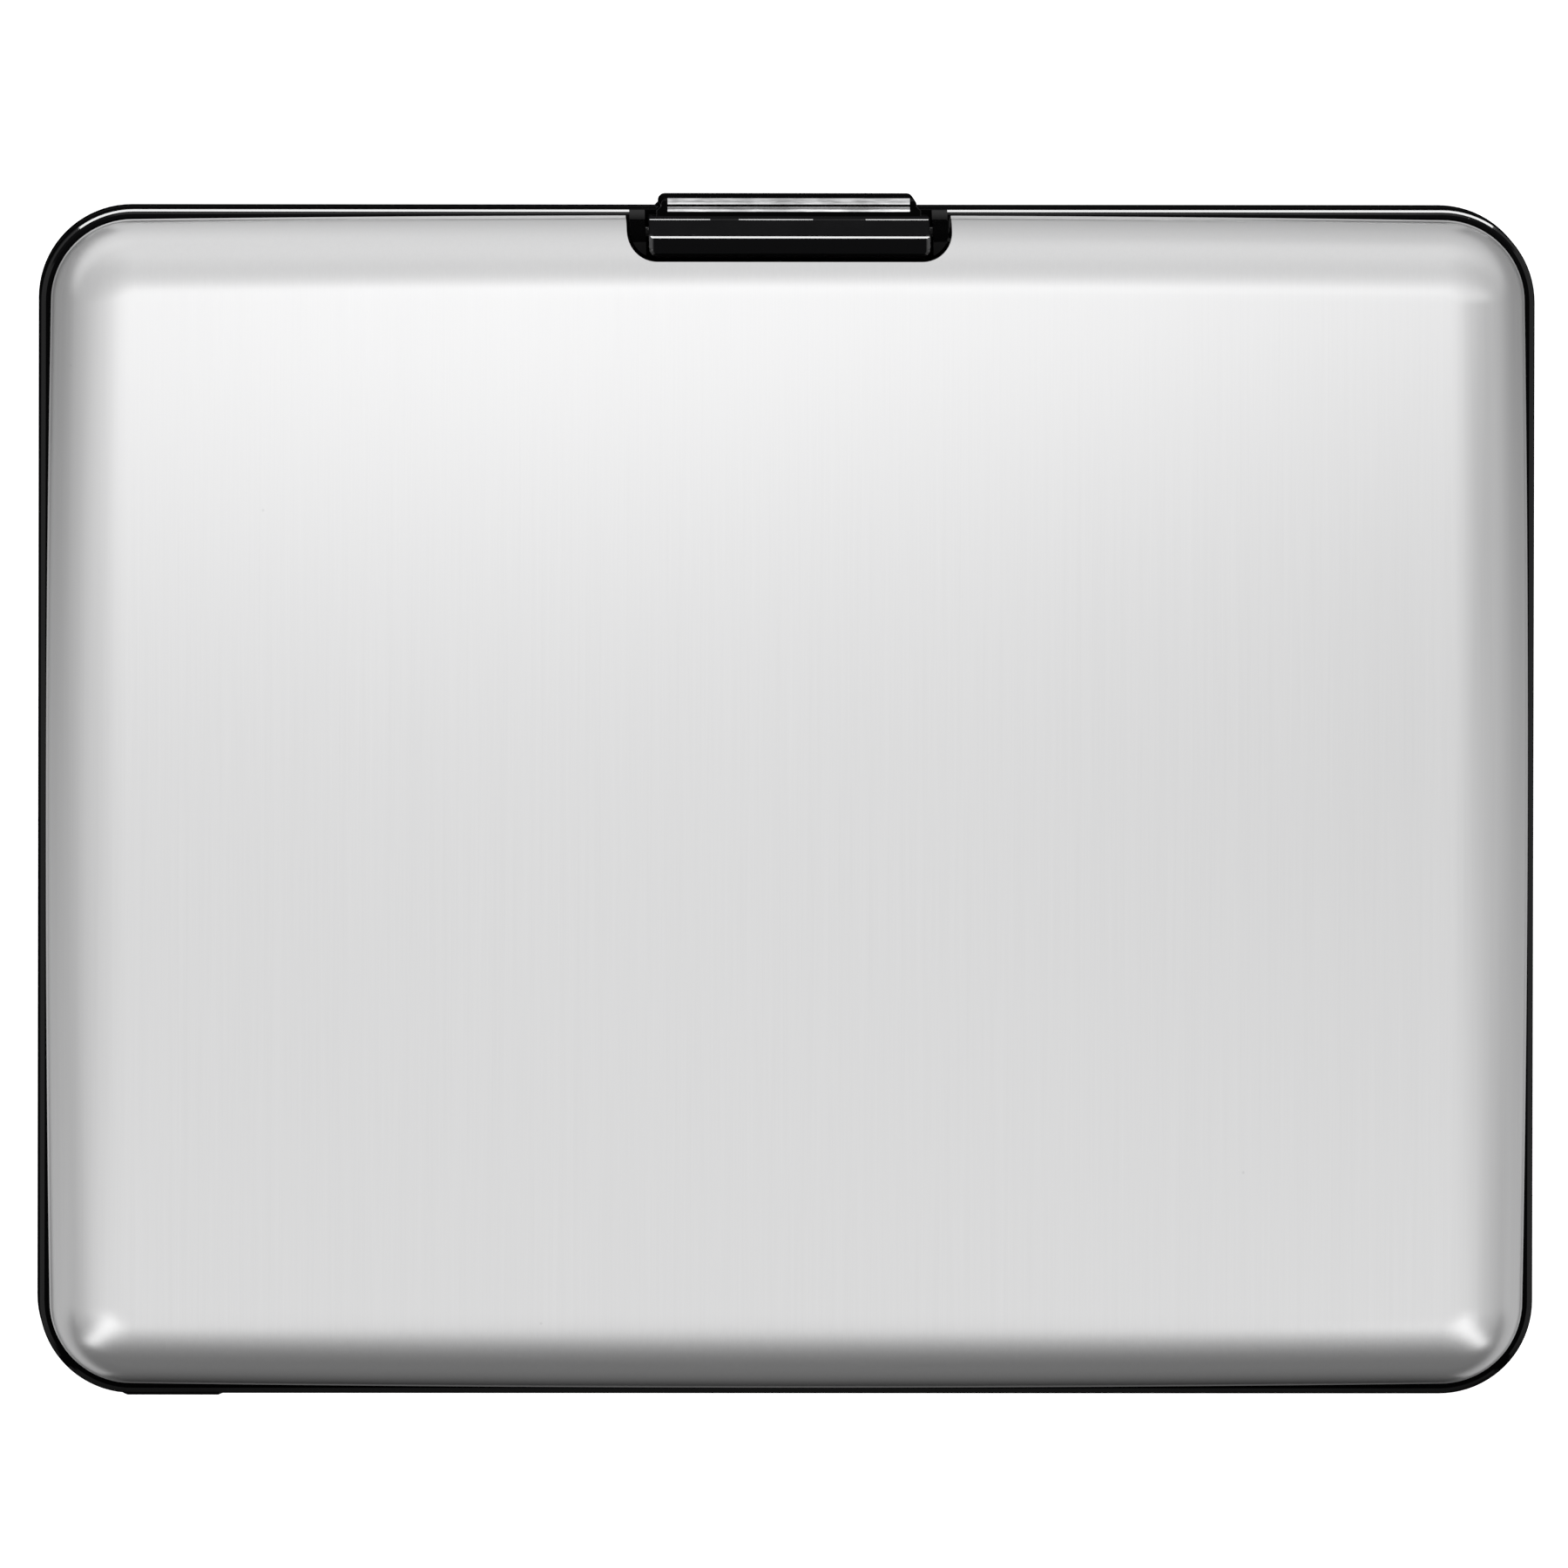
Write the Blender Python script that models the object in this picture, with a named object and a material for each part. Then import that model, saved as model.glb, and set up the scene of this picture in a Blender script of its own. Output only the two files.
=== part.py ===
"""Aluminium clamshell wallet with a snap clasp, a pin hinge and a pleated card pouch.

The wallet lies on its back: +Z is up through the front face, +Y points at the clasp and
+X runs along the hinge. The origin is the centre of the back shell's outer face.
Sizes are in metres.
"""

import math

import bmesh
import bpy

# Case: the two frames' common outline
CASE_WIDTH = 0.125
CASE_HEIGHT = 0.0992
CASE_THICKNESS = 0.024
CASE_CORNER_RADIUS = 0.0078
PARTING_GAP = 0.0003

# Shells: pressed aluminium trays that sit on the frames' ledges
SHELL_WALL = 0.0008
SHELL_BAND = 0.00067
SHELL_BOW = 0.00036
SHELL_CORNER_RADIUS = 0.0067
SHELL_SEAT_GAP = 0.0003
RIM_WIDTH = 0.0061
RIM_SQUARENESS = 2.3

# Frames: moulded rings with an outer wall, a ledge and an inner flange
FRAME_RISE = 0.0048
FRAME_EDGE_ROUND = 0.0007
FLANGE_CLEARANCE = 0.0005
FLANGE_WALL = 0.001
FLANGE_HEIGHT = 0.0021

# Hinge: knuckles of both frames in turn on one steel pin
BARREL_RADIUS = 0.0017
END_BOSS_PROUD = 0.0004
SOCKET_CLEARANCE = 0.00065
HINGE_END_INSET = 0.01575
HINGE_KNUCKLES = 5
KNUCKLE_GAP = 0.0003
END_BOSS_LENGTH = 0.0086
END_SOCKET_INSET = 0.0029
END_KNUCKLE_SETBACK = 0.00005
HINGE_PIN_RADIUS = 0.0006
HINGE_PIN_CLEARANCE = 0.00025
HINGE_PIN_END = 0.0005

# Clasp housing: cheeks, floor and back wall of the front frame, in a notch of the shell
NOTCH_WIDTH = 0.0272
NOTCH_DEPTH = 0.00415
NOTCH_CORNER_RADIUS = 0.0025
HOUSING_GAP = 0.0003
HOUSING_SETBACK = 0.00015
HOUSING_FLOOR = 0.001
HOUSING_BACK_WALL = 0.00105
HOUSING_BACK_SINK = 0.0029
CHEEK_WALL = 0.0013
CHEEK_RISE = 0.0014

# Clasp: a rocker with a finger pad, a strap with a window and a hooked arm
CLASP_SIDE_GAP = 0.00025
CLASP_FLOOR_GAP = 0.00035
CLASP_PLAN_RADIUS = 0.0008
PIVOT_INSET = 0.0019
PIVOT_RISE = 0.003
PAD_END_GAP = 0.00035
PAD_DEPTH = 0.0018
PAD_SINK = 0.0008
PAD_FALL = 0.0005
PAD_LIP = 0.0005
PAD_HEIGHT = 0.0015
STEP_OVER_PIVOT = 0.0017
STEP_INSET = 0.00065
STEP_DROP = 0.001
STRAP_DEPTH = 0.00175
STRAP_SIDE_INSET = 0.00105
STRAP_LEG = 0.0006
STRAP_FLARE = 0.00035
STRAP_FLARE_INSET = 0.00005
STRAP_CORNER_RADIUS = 0.0006
WINDOW_INSET = 0.00015
WINDOW_REACH = 0.0006
ARM_GAP = 0.0003
ARM_WALL = 0.0007
ARM_CHAMFER = 0.0003
ROCKER_UNDER_PIVOT = 0.0015
ROCKER_REAR_INSET = 0.0029
ROCKER_FRONT_INSET = 0.0005

# Catch: a slot in the back frame's wall under which the clasp's barb holds
CATCH_LUG_HEIGHT = 0.00195
CATCH_GAP = 0.0003
CATCH_SIDE_GAP = 0.0003
CATCH_SLOT_SPARE = 0.0004
BARB_REACH = 0.0006
BARB_TIP_HEIGHT = 0.0004
BARB_LEAD = 0.0008

# Clasp pin and leaf spring
CLASP_PIN_RADIUS = 0.0005
CLASP_PIN_CLEARANCE = 0.00025
CLASP_PIN_END_GAP = 0.00025
CLASP_PIN_SKIN = 0.00025
SPRING_WALL = 0.0002
SPRING_WIDTH = 0.006
SPRING_GAP = 0.0003
SPRING_BEND = 0.00025
SPRING_FOOT = 0.002
SPRING_TOE = 0.0003

# Pouch: two boards, six dividers, side gussets and a pleated bottom
POCKETS = 7
BOARD_WALL = 0.0008
BOARD_GAP = 0.0003
BOARD_OVER_RIM = 0.00163
POUCH_SIDE_GAP = 0.00097
POUCH_REAR_GAP = 0.00055
POUCH_MOUTH_GAP = 0.0008
POUCH_CORNER_RADIUS = 0.003
DIVIDER_WALL = 0.0005
SCOOP_WIDTH = 0.018
SCOOP_DEPTH = 0.0035
FABRIC_WALL = 0.0002
FABRIC_GAP = 0.0003
FOLD_HALF_WIDTH = 0.00015
GUSSET_REAR_SET = 0.0027
GUSSET_DEPTH = 0.01
BOTTOM_PLEAT_DEPTH = 0.002
BOTTOM_END_INSET = 0.0035

# Fineness of the curves
CORNER_STEPS = 6
SIDE_STEPS = 4
RIM_STEPS = 8
INNER_RIM_STEPS = 6
ROUND_STEPS = 3
BARREL_SIDES = 24
PIN_SIDES = 12
SCOOP_STEPS = 10
SHARP_ANGLE = math.radians(30)
FLAT_ANGLE = math.radians(0.01)
CUT_OVERRUN = 0.002

# Places that follow from the sizes
HALF_X = CASE_WIDTH / 2
HALF_Y = CASE_HEIGHT / 2
MID_Z = CASE_THICKNESS / 2
HALF_GAP = PARTING_GAP / 2
EDGE_RISE = FRAME_RISE + SHELL_SEAT_GAP
SHELL_INSET = SHELL_BAND + SHELL_BOW
FLANGE_INSET = SHELL_WALL + FLANGE_CLEARANCE
LEDGE_Z = MID_Z + FRAME_RISE
HINGE_Y = BARREL_RADIUS - HALF_Y
HINGE_HALF = HALF_X - HINGE_END_INSET
SOCKET_RADIUS = BARREL_RADIUS + SOCKET_CLEARANCE
PIVOT_Y = HALF_Y - PIVOT_INSET
PIVOT_Z = LEDGE_Z + PIVOT_RISE
NOTCH_Y = HALF_Y - NOTCH_DEPTH
POCKET_HALF_X = NOTCH_WIDTH / 2 - HOUSING_GAP - CHEEK_WALL
ROCKER_HALF = POCKET_HALF_X - CLASP_SIDE_GAP
STRAP_HALF = ROCKER_HALF - STRAP_SIDE_INSET
BARB_TOP_Z = MID_Z - HALF_GAP - CATCH_LUG_HEIGHT - CATCH_GAP
BOARD_TOP = SHELL_WALL + BOARD_GAP + BOARD_WALL
BOARD_INSET = SHELL_INSET + RIM_WIDTH - BOARD_OVER_RIM
BOARD_HALF_WIDTH = HALF_X - BOARD_INSET
BOARD_REAR_Y = BOARD_INSET - HALF_Y
FRAME_INSIDE_X = HALF_X - SHELL_INSET - FLANGE_INSET - FLANGE_WALL
DIVIDER_HALF_WIDTH = FRAME_INSIDE_X - POUCH_SIDE_GAP
DIVIDER_REAR_Y = HINGE_Y + SOCKET_RADIUS + FABRIC_WALL / 2 + FABRIC_GAP + POUCH_REAR_GAP
MOUTH_Y = NOTCH_Y - HOUSING_GAP - HOUSING_BACK_WALL - POUCH_MOUTH_GAP
POCKET_CLEAR = (CASE_THICKNESS - 2 * BOARD_TOP - (POCKETS - 1) * DIVIDER_WALL) / POCKETS

ALUMINIUM = ("brushed_aluminium", (0.72, 0.72, 0.73), 0.32, 1.0)
BLACK_PLASTIC = ("gloss_black_plastic", (0.012, 0.012, 0.013), 0.16, 0.0)
STEEL = ("bright_steel", (0.6, 0.6, 0.61), 0.25, 1.0)
POUCH_FABRIC = ("pouch_fabric", (0.03, 0.03, 0.033), 0.75, 0.0)
POUCH_BOARD = ("pouch_board", (0.045, 0.045, 0.048), 0.6, 0.0)


def clear_scene():
    for obj in list(bpy.data.objects):
        bpy.data.objects.remove(obj, do_unlink=True)


def finish(name, bm, look=None):
    """Turn a bmesh into a named object; without a look it is a hidden guide for a Boolean."""
    bmesh.ops.recalc_face_normals(bm, faces=bm.faces)
    mesh = bpy.data.meshes.new(name)
    bm.to_mesh(mesh)
    bm.free()
    mesh.shade_smooth()
    mesh.set_sharp_from_angle(angle=SHARP_ANGLE)
    obj = bpy.data.objects.new(name, mesh)
    bpy.context.scene.collection.objects.link(obj)
    if look is None:
        obj.hide_render = True
        obj.display_type = "WIRE"
    else:
        mesh.materials.append(finish_material(name, *look))
    return obj


def finish_material(name, finish_name, colour, roughness, metallic):
    made = bpy.data.materials.new(f"{name}_{finish_name}")
    made.use_nodes = True
    shader = made.node_tree.nodes["Principled BSDF"]
    shader.inputs["Base Color"].default_value = (*colour, 1)
    shader.inputs["Roughness"].default_value = roughness
    shader.inputs["Metallic"].default_value = metallic
    return made


def combine(target, tool, operation):
    modifier = target.modifiers.new(f"{operation.lower()}_{tool.name}", "BOOLEAN")
    modifier.operation = operation
    modifier.object = tool


def set_origin(obj, x, y, z):
    """Move the object's origin to a point and leave its shape where it is."""
    for vertex in obj.data.vertices:
        vertex.co.x -= x
        vertex.co.y -= y
        vertex.co.z -= z
    obj.location = (x, y, z)


def hang(obj, axis):
    """Parent a piece to the empty on its joint's axis and leave its shape where it is."""
    base = axis.location
    if obj.location.length == 0:
        set_origin(obj, *base)
    obj.location = obj.location - base
    obj.parent = axis


def prism(name, points, axis, low, high, look=None):
    """Extrude a closed outline: along X from (y, z) points or along Z from (x, y) points."""
    bm = bmesh.new()
    if axis == "X":
        places = [(low, a, b) for a, b in points]
        reach = (high - low, 0, 0)
    else:
        places = [(a, b, low) for a, b in points]
        reach = (0, 0, high - low)
    face = bm.faces.new([bm.verts.new(p) for p in places])
    grown = bmesh.ops.extrude_face_region(bm, geom=[face])["geom"]
    moved = [g for g in grown if isinstance(g, bmesh.types.BMVert)]
    bmesh.ops.translate(bm, verts=moved, vec=reach)
    return finish(name, bm, look)


def box(name, low, high, look=None):
    corners = [(low[0], low[1]), (high[0], low[1]), (high[0], high[1]), (low[0], high[1])]
    return prism(name, corners, "Z", low[2], high[2], look)


def circle(centre, radius, sides):
    turns = [2 * math.pi * step / sides for step in range(sides)]
    return [(centre[0] + radius * math.cos(t), centre[1] + radius * math.sin(t)) for t in turns]


def rod(name, low, high, y, z, radius, sides, look=None):
    """A round bar along X."""
    return prism(name, circle((y, z), radius, sides), "X", low, high, look)


def loft(name, rings, closed, look=None):
    """Join rings of equally many points; a closed loft is a tube, an open one has end faces."""
    bm = bmesh.new()
    rows = [[bm.verts.new(p) for p in ring] for ring in rings]
    pairs = list(zip(rows, rows[1:] + rows[:1] if closed else rows[1:]))
    for lower, upper in pairs:
        for i, vertex in enumerate(lower):
            bm.faces.new((lower[i - 1], vertex, upper[i], upper[i - 1]))
    if not closed:
        bm.faces.new(rows[0])
        bm.faces.new(rows[-1])
    bmesh.ops.connect_verts_nonplanar(bm, angle_limit=FLAT_ANGLE, faces=bm.faces)
    return finish(name, bm, look)


def outline(half_x, half_y, radius, bow, inset):
    """A rounded rectangle whose sides bow outwards, drawn in by an inset."""
    centre_x = half_x - bow - radius
    centre_y = half_y - bow - radius
    kept = radius - inset
    points = []
    for side in range(4):
        turn = side * math.pi / 2
        across = (centre_y, centre_x)[side % 2]
        along = (centre_x, centre_y)[side % 2]
        corner_x = centre_x if side in (0, 3) else -centre_x
        corner_y = centre_y if side in (0, 1) else -centre_y
        for step in range(CORNER_STEPS + 1):
            angle = turn + step / CORNER_STEPS * math.pi / 2
            points.append((corner_x + kept * math.cos(angle), corner_y + kept * math.sin(angle)))
        normal_x = -math.sin(turn)
        normal_y = math.cos(turn)
        for step in range(1, SIDE_STEPS):
            share = 1 - 2 * step / SIDE_STEPS
            out = across + kept + bow * (1 - share**2)
            points.append(
                (
                    normal_x * out + normal_y * share * along,
                    normal_y * out - normal_x * share * along,
                )
            )
    return points


def case_outline(inset):
    return outline(HALF_X, HALF_Y, CASE_CORNER_RADIUS, 0, inset)


def shell_outline(inset):
    return outline(HALF_X - SHELL_BAND, HALF_Y - SHELL_BAND, SHELL_CORNER_RADIUS, SHELL_BOW, inset)


def ring(points, z):
    return [(x, y, z) for x, y in points]


def rim_profile(width, height, steps):
    """A squarish quarter curve, from the steep edge of a shell to its flat face."""
    power = 2 / RIM_SQUARENESS
    profile = []
    for step in range(steps + 1):
        angle = step / steps * math.pi / 2
        across = width * (1 - max(math.cos(angle), 0) ** power)
        profile.append((across, height * math.sin(angle) ** power))
    profile[-1] = (width, height)
    return profile


def pressed_shell(name, side, look):
    """One tray; side is 1 for the front half and -1 for the back half."""
    height = MID_Z - EDGE_RISE
    outer = rim_profile(RIM_WIDTH, height, RIM_STEPS)
    inner = rim_profile(RIM_WIDTH - SHELL_WALL, height - SHELL_WALL, INNER_RIM_STEPS)
    rings = [
        ring(shell_outline(SHELL_WALL + across), MID_Z + side * (EDGE_RISE + rise))
        for across, rise in reversed(inner)
    ]
    rings += [
        ring(shell_outline(across), MID_Z + side * (EDGE_RISE + rise)) for across, rise in outer
    ]
    return loft(name, rings, False, look)


def frame_ring(name, side, look):
    """The moulded ring: outer wall with a rounded edge, ledge under the shell, inner flange."""
    section = [case_outline(0)]
    heights = [HALF_GAP]
    for step in range(ROUND_STEPS + 1):
        angle = step / ROUND_STEPS * math.pi / 2
        section.append(case_outline(FRAME_EDGE_ROUND * (1 - math.cos(angle))))
        heights.append(FRAME_RISE - FRAME_EDGE_ROUND * (1 - math.sin(angle)))
    flange_in = FLANGE_INSET + FLANGE_WALL
    section += [shell_outline(FLANGE_INSET), shell_outline(FLANGE_INSET)]
    heights += [FRAME_RISE, FRAME_RISE + FLANGE_HEIGHT]
    section += [shell_outline(flange_in), shell_outline(flange_in)]
    heights += [FRAME_RISE + FLANGE_HEIGHT, HALF_GAP]
    rings = [ring(points, MID_Z + side * rise) for points, rise in zip(section, heights)]
    return loft(name, rings, True, look)


def knuckle_spans():
    """The five middle knuckles: low and high x, and whether the front frame owns it."""
    pitch = 2 * HINGE_HALF / HINGE_KNUCKLES
    spans = []
    for count in range(HINGE_KNUCKLES):
        low = count * pitch - HINGE_HALF
        spans.append((low, low + pitch, count % 2 == 0))
    return spans


def end_spans():
    """The end knuckles, which the back frame owns: low and high x, left then right."""
    outer = HALF_X - END_SOCKET_INSET
    return [(-outer, -HINGE_HALF), (HINGE_HALF, outer)]


def barrel(name, low, high, radius):
    return rod(name, low, high, HINGE_Y, MID_Z, radius, BARREL_SIDES)


def add_hinge(frame, is_front):
    """Cut the other frame's sockets, then add this frame's barrels and bore the pin hole."""
    half = KNUCKLE_GAP / 2
    owned = [(low, high) for low, high, front in knuckle_spans() if front == is_front]
    foreign = [(low, high) for low, high, front in knuckle_spans() if front != is_front]
    if is_front:
        foreign += end_spans()
    for count, (low, high) in enumerate(foreign):
        socket = barrel(f"{frame.name}_socket_{count}", low - half, high + half, SOCKET_RADIUS)
        combine(frame, socket, "DIFFERENCE")
    for count, (low, high) in enumerate(owned):
        knuckle = barrel(f"{frame.name}_barrel_{count}", low + half, high - half, BARREL_RADIUS)
        combine(frame, knuckle, "UNION")
    if not is_front:
        add_end_knuckles(frame)
    bore_end = HINGE_HALF + END_BOSS_LENGTH - HINGE_PIN_END
    bore_radius = HINGE_PIN_RADIUS + HINGE_PIN_CLEARANCE
    bore = rod(f"{frame.name}_bore", -bore_end, bore_end, HINGE_Y, MID_Z, bore_radius, PIN_SIDES)
    combine(frame, bore, "DIFFERENCE")


def add_end_knuckles(frame):
    """End barrels run into the rounded case corners; the left one stands a little proud."""
    half = KNUCKLE_GAP / 2
    for count, (low, high) in enumerate(end_spans()):
        end = barrel(f"{frame.name}_end_{count}", low + half, high - half, BARREL_RADIUS)
        corner = case_outline(END_KNUCKLE_SETBACK)
        body = prism(f"{frame.name}_corner_{count}", corner, "Z", 0, CASE_THICKNESS)
        combine(end, body, "INTERSECT")
        combine(frame, end, "UNION")
    inner = -HINGE_HALF - half
    boss_radius = BARREL_RADIUS + END_BOSS_PROUD
    boss = barrel(f"{frame.name}_end_boss", inner - END_BOSS_LENGTH, inner, boss_radius)
    combine(frame, boss, "UNION")


def notch_plan(gap):
    """The U-shaped notch seen from the front, drawn in by a gap, open past the case edge."""
    half = NOTCH_WIDTH / 2 - gap
    low = NOTCH_Y + gap
    high = HALF_Y + CUT_OVERRUN
    radius = NOTCH_CORNER_RADIUS - gap
    points = [(half, high), (-half, high)]
    for centre_x, start in ((radius - half, math.pi), (half - radius, 1.5 * math.pi)):
        for step in range(CORNER_STEPS + 1):
            angle = start + step / CORNER_STEPS * math.pi / 2
            x = centre_x + radius * math.cos(angle)
            points.append((x, low + radius + radius * math.sin(angle)))
    return points


def housing_envelope():
    """The space under the shell's outer skin, set back a little, down to the parting plane."""
    height = MID_Z - EDGE_RISE - HOUSING_SETBACK
    profile = rim_profile(RIM_WIDTH - HOUSING_SETBACK, height, RIM_STEPS)
    foot = case_outline(HOUSING_SETBACK)
    rings = [ring(foot, MID_Z), ring(foot, LEDGE_Z + CHEEK_RISE)]
    rings += [
        ring(shell_outline(HOUSING_SETBACK + across), MID_Z + EDGE_RISE + rise)
        for across, rise in profile
        if rise > CHEEK_RISE
    ]
    return loft("housing_envelope", rings, False)


def add_clasp_housing(frame):
    """Cheeks that follow the shell's curve, a floor and a back wall, open to the outside."""
    floor_z = LEDGE_Z - HOUSING_FLOOR
    cheeks = prism("housing_cheeks", notch_plan(HOUSING_GAP), "Z", floor_z, CASE_THICKNESS)
    combine(cheeks, housing_envelope(), "INTERSECT")
    combine(frame, cheeks, "UNION")
    half = NOTCH_WIDTH / 2 - HOUSING_GAP
    pocket_y = NOTCH_Y - HOUSING_GAP
    back_low = (-half, pocket_y - HOUSING_BACK_WALL, floor_z)
    back_high = (half, NOTCH_Y + NOTCH_CORNER_RADIUS, CASE_THICKNESS - HOUSING_BACK_SINK)
    combine(frame, box("housing_back", back_low, back_high), "UNION")
    pocket_low = (-POCKET_HALF_X, pocket_y, LEDGE_Z)
    pocket_high = (POCKET_HALF_X, HALF_Y + CUT_OVERRUN, CASE_THICKNESS + CUT_OVERRUN)
    combine(frame, box("housing_pocket", pocket_low, pocket_high), "DIFFERENCE")
    bore_radius = CLASP_PIN_RADIUS + CLASP_PIN_CLEARANCE
    bore_end = half - CLASP_PIN_SKIN
    bore = rod("cheek_bore", -bore_end, bore_end, PIVOT_Y, PIVOT_Z, bore_radius, PIN_SIDES)
    combine(frame, bore, "DIFFERENCE")


def add_catch_slot(frame):
    """The slot in the back frame's outer wall that takes the clasp's barb."""
    half = STRAP_HALF + STRAP_FLARE + CATCH_SIDE_GAP
    floor_y = HALF_Y - BARB_REACH - CATCH_SLOT_SPARE
    low_z = BARB_TOP_Z - BARB_TIP_HEIGHT - BARB_LEAD - CATCH_SLOT_SPARE
    low = (-half, floor_y, low_z)
    high = (half, HALF_Y + CUT_OVERRUN, BARB_TOP_Z + CATCH_GAP)
    combine(frame, box("catch_slot", low, high), "DIFFERENCE")


def rocker_section():
    """The clasp's pad, step and pivot body, as (y, z) points."""
    pad_y = NOTCH_Y + PAD_END_GAP
    pad_z = CASE_THICKNESS - PAD_SINK
    step_y = pad_y + PAD_DEPTH
    edge_y = HALF_Y - STEP_INSET
    strap_low = LEDGE_Z + CLASP_FLOOR_GAP
    strap_top = strap_low + STRAP_DEPTH
    under = PIVOT_Z - ROCKER_UNDER_PIVOT
    rear_y = HALF_Y - ROCKER_REAR_INSET
    front_y = HALF_Y - ROCKER_FRONT_INSET
    return [
        (pad_y, pad_z - PAD_LIP),
        (pad_y + PAD_LIP / 2, pad_z),
        (step_y, pad_z - PAD_FALL),
        (step_y + PAD_LIP / 4, PIVOT_Z + STEP_OVER_PIVOT),
        (edge_y, strap_top + STEP_DROP),
        (front_y, strap_top + STEP_DROP - PAD_LIP / 2),
        (front_y, strap_low),
        (front_y - ARM_CHAMFER, strap_low),
        (front_y - 2 * ARM_CHAMFER, under),
        (rear_y, under),
        (rear_y - ARM_CHAMFER, pad_z - PAD_LIP - PAD_HEIGHT),
        (pad_y, pad_z - PAD_HEIGHT),
    ]


def arm_section():
    """The strap over the frame's edge and the arm that hangs from it to the barb."""
    strap_low = LEDGE_Z + CLASP_FLOOR_GAP
    strap_top = strap_low + STRAP_DEPTH
    root_y = HALF_Y - STEP_INSET - ARM_CHAMFER
    inner_y = HALF_Y + ARM_GAP
    outer_y = inner_y + ARM_WALL
    tip_y = HALF_Y - BARB_REACH
    low_z = BARB_TOP_Z - BARB_TIP_HEIGHT - BARB_LEAD
    return [
        (root_y, strap_low),
        (HALF_Y + WINDOW_REACH, strap_low),
        (inner_y, strap_low - CLASP_FLOOR_GAP),
        (inner_y, BARB_TOP_Z),
        (tip_y, BARB_TOP_Z),
        (tip_y, BARB_TOP_Z - BARB_TIP_HEIGHT),
        (inner_y, low_z),
        (outer_y - ARM_CHAMFER, low_z),
        (outer_y, low_z + ARM_CHAMFER),
        (outer_y, strap_top - ARM_CHAMFER),
        (outer_y - ARM_CHAMFER, strap_top),
        (root_y, strap_top),
    ]


def strap_plan():
    """The strap's plan: its legs flare at their roots and its outer corners are rounded."""
    half = STRAP_HALF
    wide = half + STRAP_FLARE
    flare_y = HALF_Y - STRAP_FLARE_INSET
    outer_y = HALF_Y + ARM_GAP + ARM_WALL
    radius = STRAP_CORNER_RADIUS
    points = [(wide, PIVOT_Y), (wide, flare_y), (half, flare_y + STRAP_FLARE)]
    for centre_x, start in ((half - radius, 0), (radius - half, math.pi / 2)):
        for step in range(ROUND_STEPS + 1):
            angle = start + step / ROUND_STEPS * math.pi / 2
            x = centre_x + radius * math.cos(angle)
            points.append((x, outer_y - radius + radius * math.sin(angle)))
    return points + [(-half, flare_y + STRAP_FLARE), (-wide, flare_y), (-wide, PIVOT_Y)]


def clasp_plan():
    """The rocker's plan, with its two inner corners rounded."""
    half = ROCKER_HALF
    low = NOTCH_Y + PAD_END_GAP
    high = HALF_Y + CUT_OVERRUN
    radius = CLASP_PLAN_RADIUS
    points = [(half, high), (-half, high)]
    for centre_x, start in ((radius - half, math.pi), (half - radius, 1.5 * math.pi)):
        for step in range(ROUND_STEPS + 1):
            angle = start + step / ROUND_STEPS * math.pi / 2
            x = centre_x + radius * math.cos(angle)
            points.append((x, low + radius + radius * math.sin(angle)))
    return points


def build_clasp():
    half = ROCKER_HALF
    clasp = prism("clasp", rocker_section(), "X", -half, half, BLACK_PLASTIC)
    plan = prism("clasp_plan", clasp_plan(), "Z", 0, CASE_THICKNESS)
    combine(clasp, plan, "INTERSECT")
    arm = prism("clasp_arm", arm_section(), "X", -half, half)
    combine(arm, prism("strap_plan", strap_plan(), "Z", 0, CASE_THICKNESS), "INTERSECT")
    combine(clasp, arm, "UNION")
    window_half = STRAP_HALF - STRAP_LEG
    window_low = (-window_half, HALF_Y - WINDOW_INSET, LEDGE_Z)
    window_high = (window_half, HALF_Y + WINDOW_REACH, CASE_THICKNESS)
    combine(clasp, box("clasp_window", window_low, window_high), "DIFFERENCE")
    bore_radius = CLASP_PIN_RADIUS + CLASP_PIN_CLEARANCE
    bore = rod("clasp_bore", -half * 2, half * 2, PIVOT_Y, PIVOT_Z, bore_radius, PIN_SIDES)
    combine(clasp, bore, "DIFFERENCE")
    return clasp


def ribbon(points, wall):
    """The closed outline of a strip of even thickness along an open line of points."""
    sides = ([], [])
    for i, (a, b) in enumerate(points):
        before = points[max(i - 1, 0)]
        after = points[min(i + 1, len(points) - 1)]
        arriving = direction(before, (a, b)) if i > 0 else direction((a, b), after)
        leaving = direction((a, b), after) if i < len(points) - 1 else arriving
        mean_a = arriving[0] + leaving[0]
        mean_b = arriving[1] + leaving[1]
        scale = wall / (1 + arriving[0] * leaving[0] + arriving[1] * leaving[1]) / 2
        sides[0].append((a - mean_b * scale, b + mean_a * scale))
        sides[1].append((a + mean_b * scale, b - mean_a * scale))
    return sides[0] + sides[1][::-1]


def direction(start, end):
    length = math.dist(start, end)
    return ((end[0] - start[0]) / length, (end[1] - start[1]) / length)


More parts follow.
